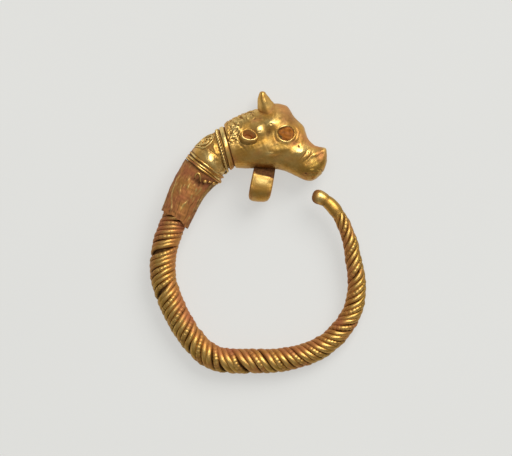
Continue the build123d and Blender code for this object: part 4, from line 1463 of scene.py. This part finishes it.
def gold_material(name, drift, brightness, matte=0.3, crumple=0.0):
    """Old gold: rubbed and dull metal in drifts, then film, red stain and soil where the piece says; these
    also lay painted shade and painted highlights.

    Rubbed places are cleaner and smoother. Drift is the size of the drifts in mm and brightness the share of
    rubbed metal in them; matte is the share of its metal look that the stain takes away, and crumple the
    strength of the shallow creases that a worn sheet has.
    """
    colours = bpy.context.scene.earring_finish
    nodes = Nodes(name)
    drifts = nodes.noise(drift, detail=5.0)
    grain = nodes.noise(0.22, detail=6.0, roughness=0.7)
    worn = nodes.broken("worn", grain, 0.30, 0.50, 0.6)
    film = nodes.maths("SUBTRACT", nodes.broken("film", grain, 0.30, 0.62, 0.45), worn)
    stained = nodes.maths("SUBTRACT", nodes.broken("stain", drifts, 0.30, 0.60, 0.45), worn)
    specks = nodes.spread(grain, 0.30, 0.22, 0.0, 0.65)
    soil_and_shade_mask = nodes.maths("ADD", nodes.broken("soil", grain, 0.28, 0.66, 0.55), specks)

    shift = 0.35 * brightness
    bright = nodes.maths("MAXIMUM", nodes.spread(drifts, 0.62 - shift, 0.85 - shift, 0.0, 0.5), worn)
    colour = colours.gold
    # The worn gold colour also lays painted highlights, and the dull gold and soil colours painted shade
    for share, laid_over in ((bright, colours.bright), (film, colours.olive), (stained, colours.stain),
                             (soil_and_shade_mask, colours.soil)):
        colour = nodes.blend(share, colour, laid_over)
    dull = nodes.weighed((stained, matte), (soil_and_shade_mask, 0.65))
    clean = colours.roughness
    rough = nodes.maths("ADD", nodes.weighed((stained, 0.20), (soil_and_shade_mask, 0.35)),
                        nodes.spread(grain, 0.25, 0.75, clean - 0.04, clean + 0.14))
    nodes.shade(Base_Color=colour, Metallic=nodes.spread(dull, 0.0, 1.0, 1.0, 0.0),
                Specular_IOR_Level=nodes.spread(soil_and_shade_mask, 0.0, 0.8, 0.5, 0.05),
                Roughness=nodes.maths("SUBTRACT", rough, nodes.maths("MULTIPLY", worn, 0.10)))
    relief = [(grain, 0.55), (nodes.noise(0.06, detail=3.0), 0.30)]
    if crumple:
        relief.append((nodes.noise(0.55, detail=3.0, roughness=0.5), crumple))
    nodes.relief(relief, 0.018)
    return nodes.material


def filling_material(name):
    """Dull mottled filling, darker where its painted shade lies."""
    colours = bpy.context.scene.earring_finish
    nodes = Nodes(name)
    mottle = nodes.noise(0.35, detail=5.0)
    grain = nodes.noise(0.08, detail=4.0)
    dark = [0.45 * value for value in colours.filling]
    colour = nodes.blend(nodes.spread(mottle, 0.35, 0.65), dark, colours.filling)
    colour = nodes.blend(nodes.broken("soil", mottle, 0.3, 0.7, 0.5), colour, colours.soil)
    nodes.shade(Base_Color=colour, Roughness=nodes.spread(grain, 0.3, 0.7, 0.45, 0.70),
                Specular_IOR_Level=0.2)
    nodes.relief([(mottle, 0.5), (grain, 0.4)], 0.02)
    return nodes.material


class EARRING_OT_stage(bpy.types.Operator):
    """Lay the floor and set the lights and the camera"""

    bl_idname = "earring.stage"
    bl_label = "Set the stage"

    def execute(self, context):
        scene = context.scene
        studio = scene.earring_studio
        self.lay_floor(scene, studio)

        world = bpy.data.worlds.new("studio_room")
        scene.world = world
        world.use_nodes = True
        room = world.node_tree.nodes["Background"].inputs
        room["Color"].default_value = (*studio.surround, 1.0)
        room["Strength"].default_value = 1.0

        middle = Vector(laid(PICTURE_MIDDLE))
        for (name, direction, distance, spread), power in zip(LIGHTS, (studio.key_power, studio.fill_power)):
            light = bpy.data.lights.new(name, "AREA")
            light.shape = "SQUARE"
            light.size = spread
            light.energy = power
            lamp = bpy.data.objects.new(name, light)
            scene.collection.objects.link(lamp)
            aim = Vector(direction).normalized()
            lamp.location = middle + aim * distance
            lamp.rotation_euler = aim.to_track_quat("Z", "Y").to_euler()

        tilt = Matrix.Rotation(np.radians(REST_TILT), 4, "X")
        data = bpy.data.cameras.new("camera")
        data.sensor_width = FILM_WIDTH
        data.lens = FILM_WIDTH * studio.camera_distance / studio.view_width
        data.clip_start = 0.01
        camera = bpy.data.objects.new("camera", data)
        scene.collection.objects.link(camera)
        camera.matrix_world = Matrix.Translation(middle + tilt.col[2].to_3d() * studio.camera_distance) @ tilt
        scene.camera = camera
        scene.view_settings.view_transform = "Standard"
        return {"FINISHED"}

    def lay_floor(self, scene, studio):
        """A wide card, faintly mottled, that glows a little as an opal sheet does."""
        mesh = bpy.data.meshes.new("floor")
        corners = [(FLOOR_REACH * x, FLOOR_REACH * y, 0) for x, y in ((-1, -1), (1, -1), (1, 1), (-1, 1))]
        mesh.from_pydata(corners, [], [(0, 1, 2, 3)])
        floor = bpy.data.objects.new("floor", mesh)
        scene.collection.objects.link(floor)
        nodes = Nodes("floor_card")
        shade = [0.965 * value for value in studio.floor]
        colour = nodes.blend(nodes.spread(nodes.noise(30.0, detail=2.0), 0.35, 0.65), shade, studio.floor)
        nodes.shade(Base_Color=colour, Roughness=0.85, Specular_IOR_Level=0.2,
                    Emission_Color=(1.0, 1.0, 0.97), Emission_Strength=studio.floor_glow)
        mesh.materials.append(nodes.material)


class EARRING_PT_panel(bpy.types.Panel):
    """Buttons for the earring's pieces and stage, with their sizes and colours"""

    bl_idname = "EARRING_PT_panel"
    bl_label = "Animal head earring"
    bl_space_type = "VIEW_3D"
    bl_region_type = "UI"
    bl_category = "Earring"

    def draw(self, context):
        column = self.layout.column(align=True)
        for operator in OPERATORS:
            column.operator(operator.bl_idname)
        scene = context.scene
        for group in (scene.earring_sizes, scene.earring_finish, scene.earring_studio):
            box = self.layout.box()
            for key in type(group).__annotations__:
                box.prop(group, key)


OPERATORS = (
    EARRING_OT_hoop,
    EARRING_OT_sleeve,
    EARRING_OT_collar,
    EARRING_OT_head,
    EARRING_OT_eyes,
    EARRING_OT_chin_loop,
    EARRING_OT_stage,
)
CLASSES = (EarringSizes, GoldFinish, StudioSettings, *OPERATORS, EARRING_PT_panel)


def register():
    """Registers the classes and hangs the settings on the scene."""
    for one in CLASSES:
        bpy.utils.register_class(one)
    bpy.types.Scene.earring_sizes = PointerProperty(type=EarringSizes)
    bpy.types.Scene.earring_finish = PointerProperty(type=GoldFinish)
    bpy.types.Scene.earring_studio = PointerProperty(type=StudioSettings)


def unregister():
    """Takes the settings off the scene and unregisters the classes."""
    del bpy.types.Scene.earring_studio
    del bpy.types.Scene.earring_finish
    del bpy.types.Scene.earring_sizes
    for one in reversed(CLASSES):
        bpy.utils.unregister_class(one)


def main():
    """Builds every piece and the stage in order."""
    register()
    for operator in OPERATORS:
        group, name = operator.bl_idname.split(".")
        getattr(getattr(bpy.ops, group), name)()


if __name__ == "__main__":
    main()
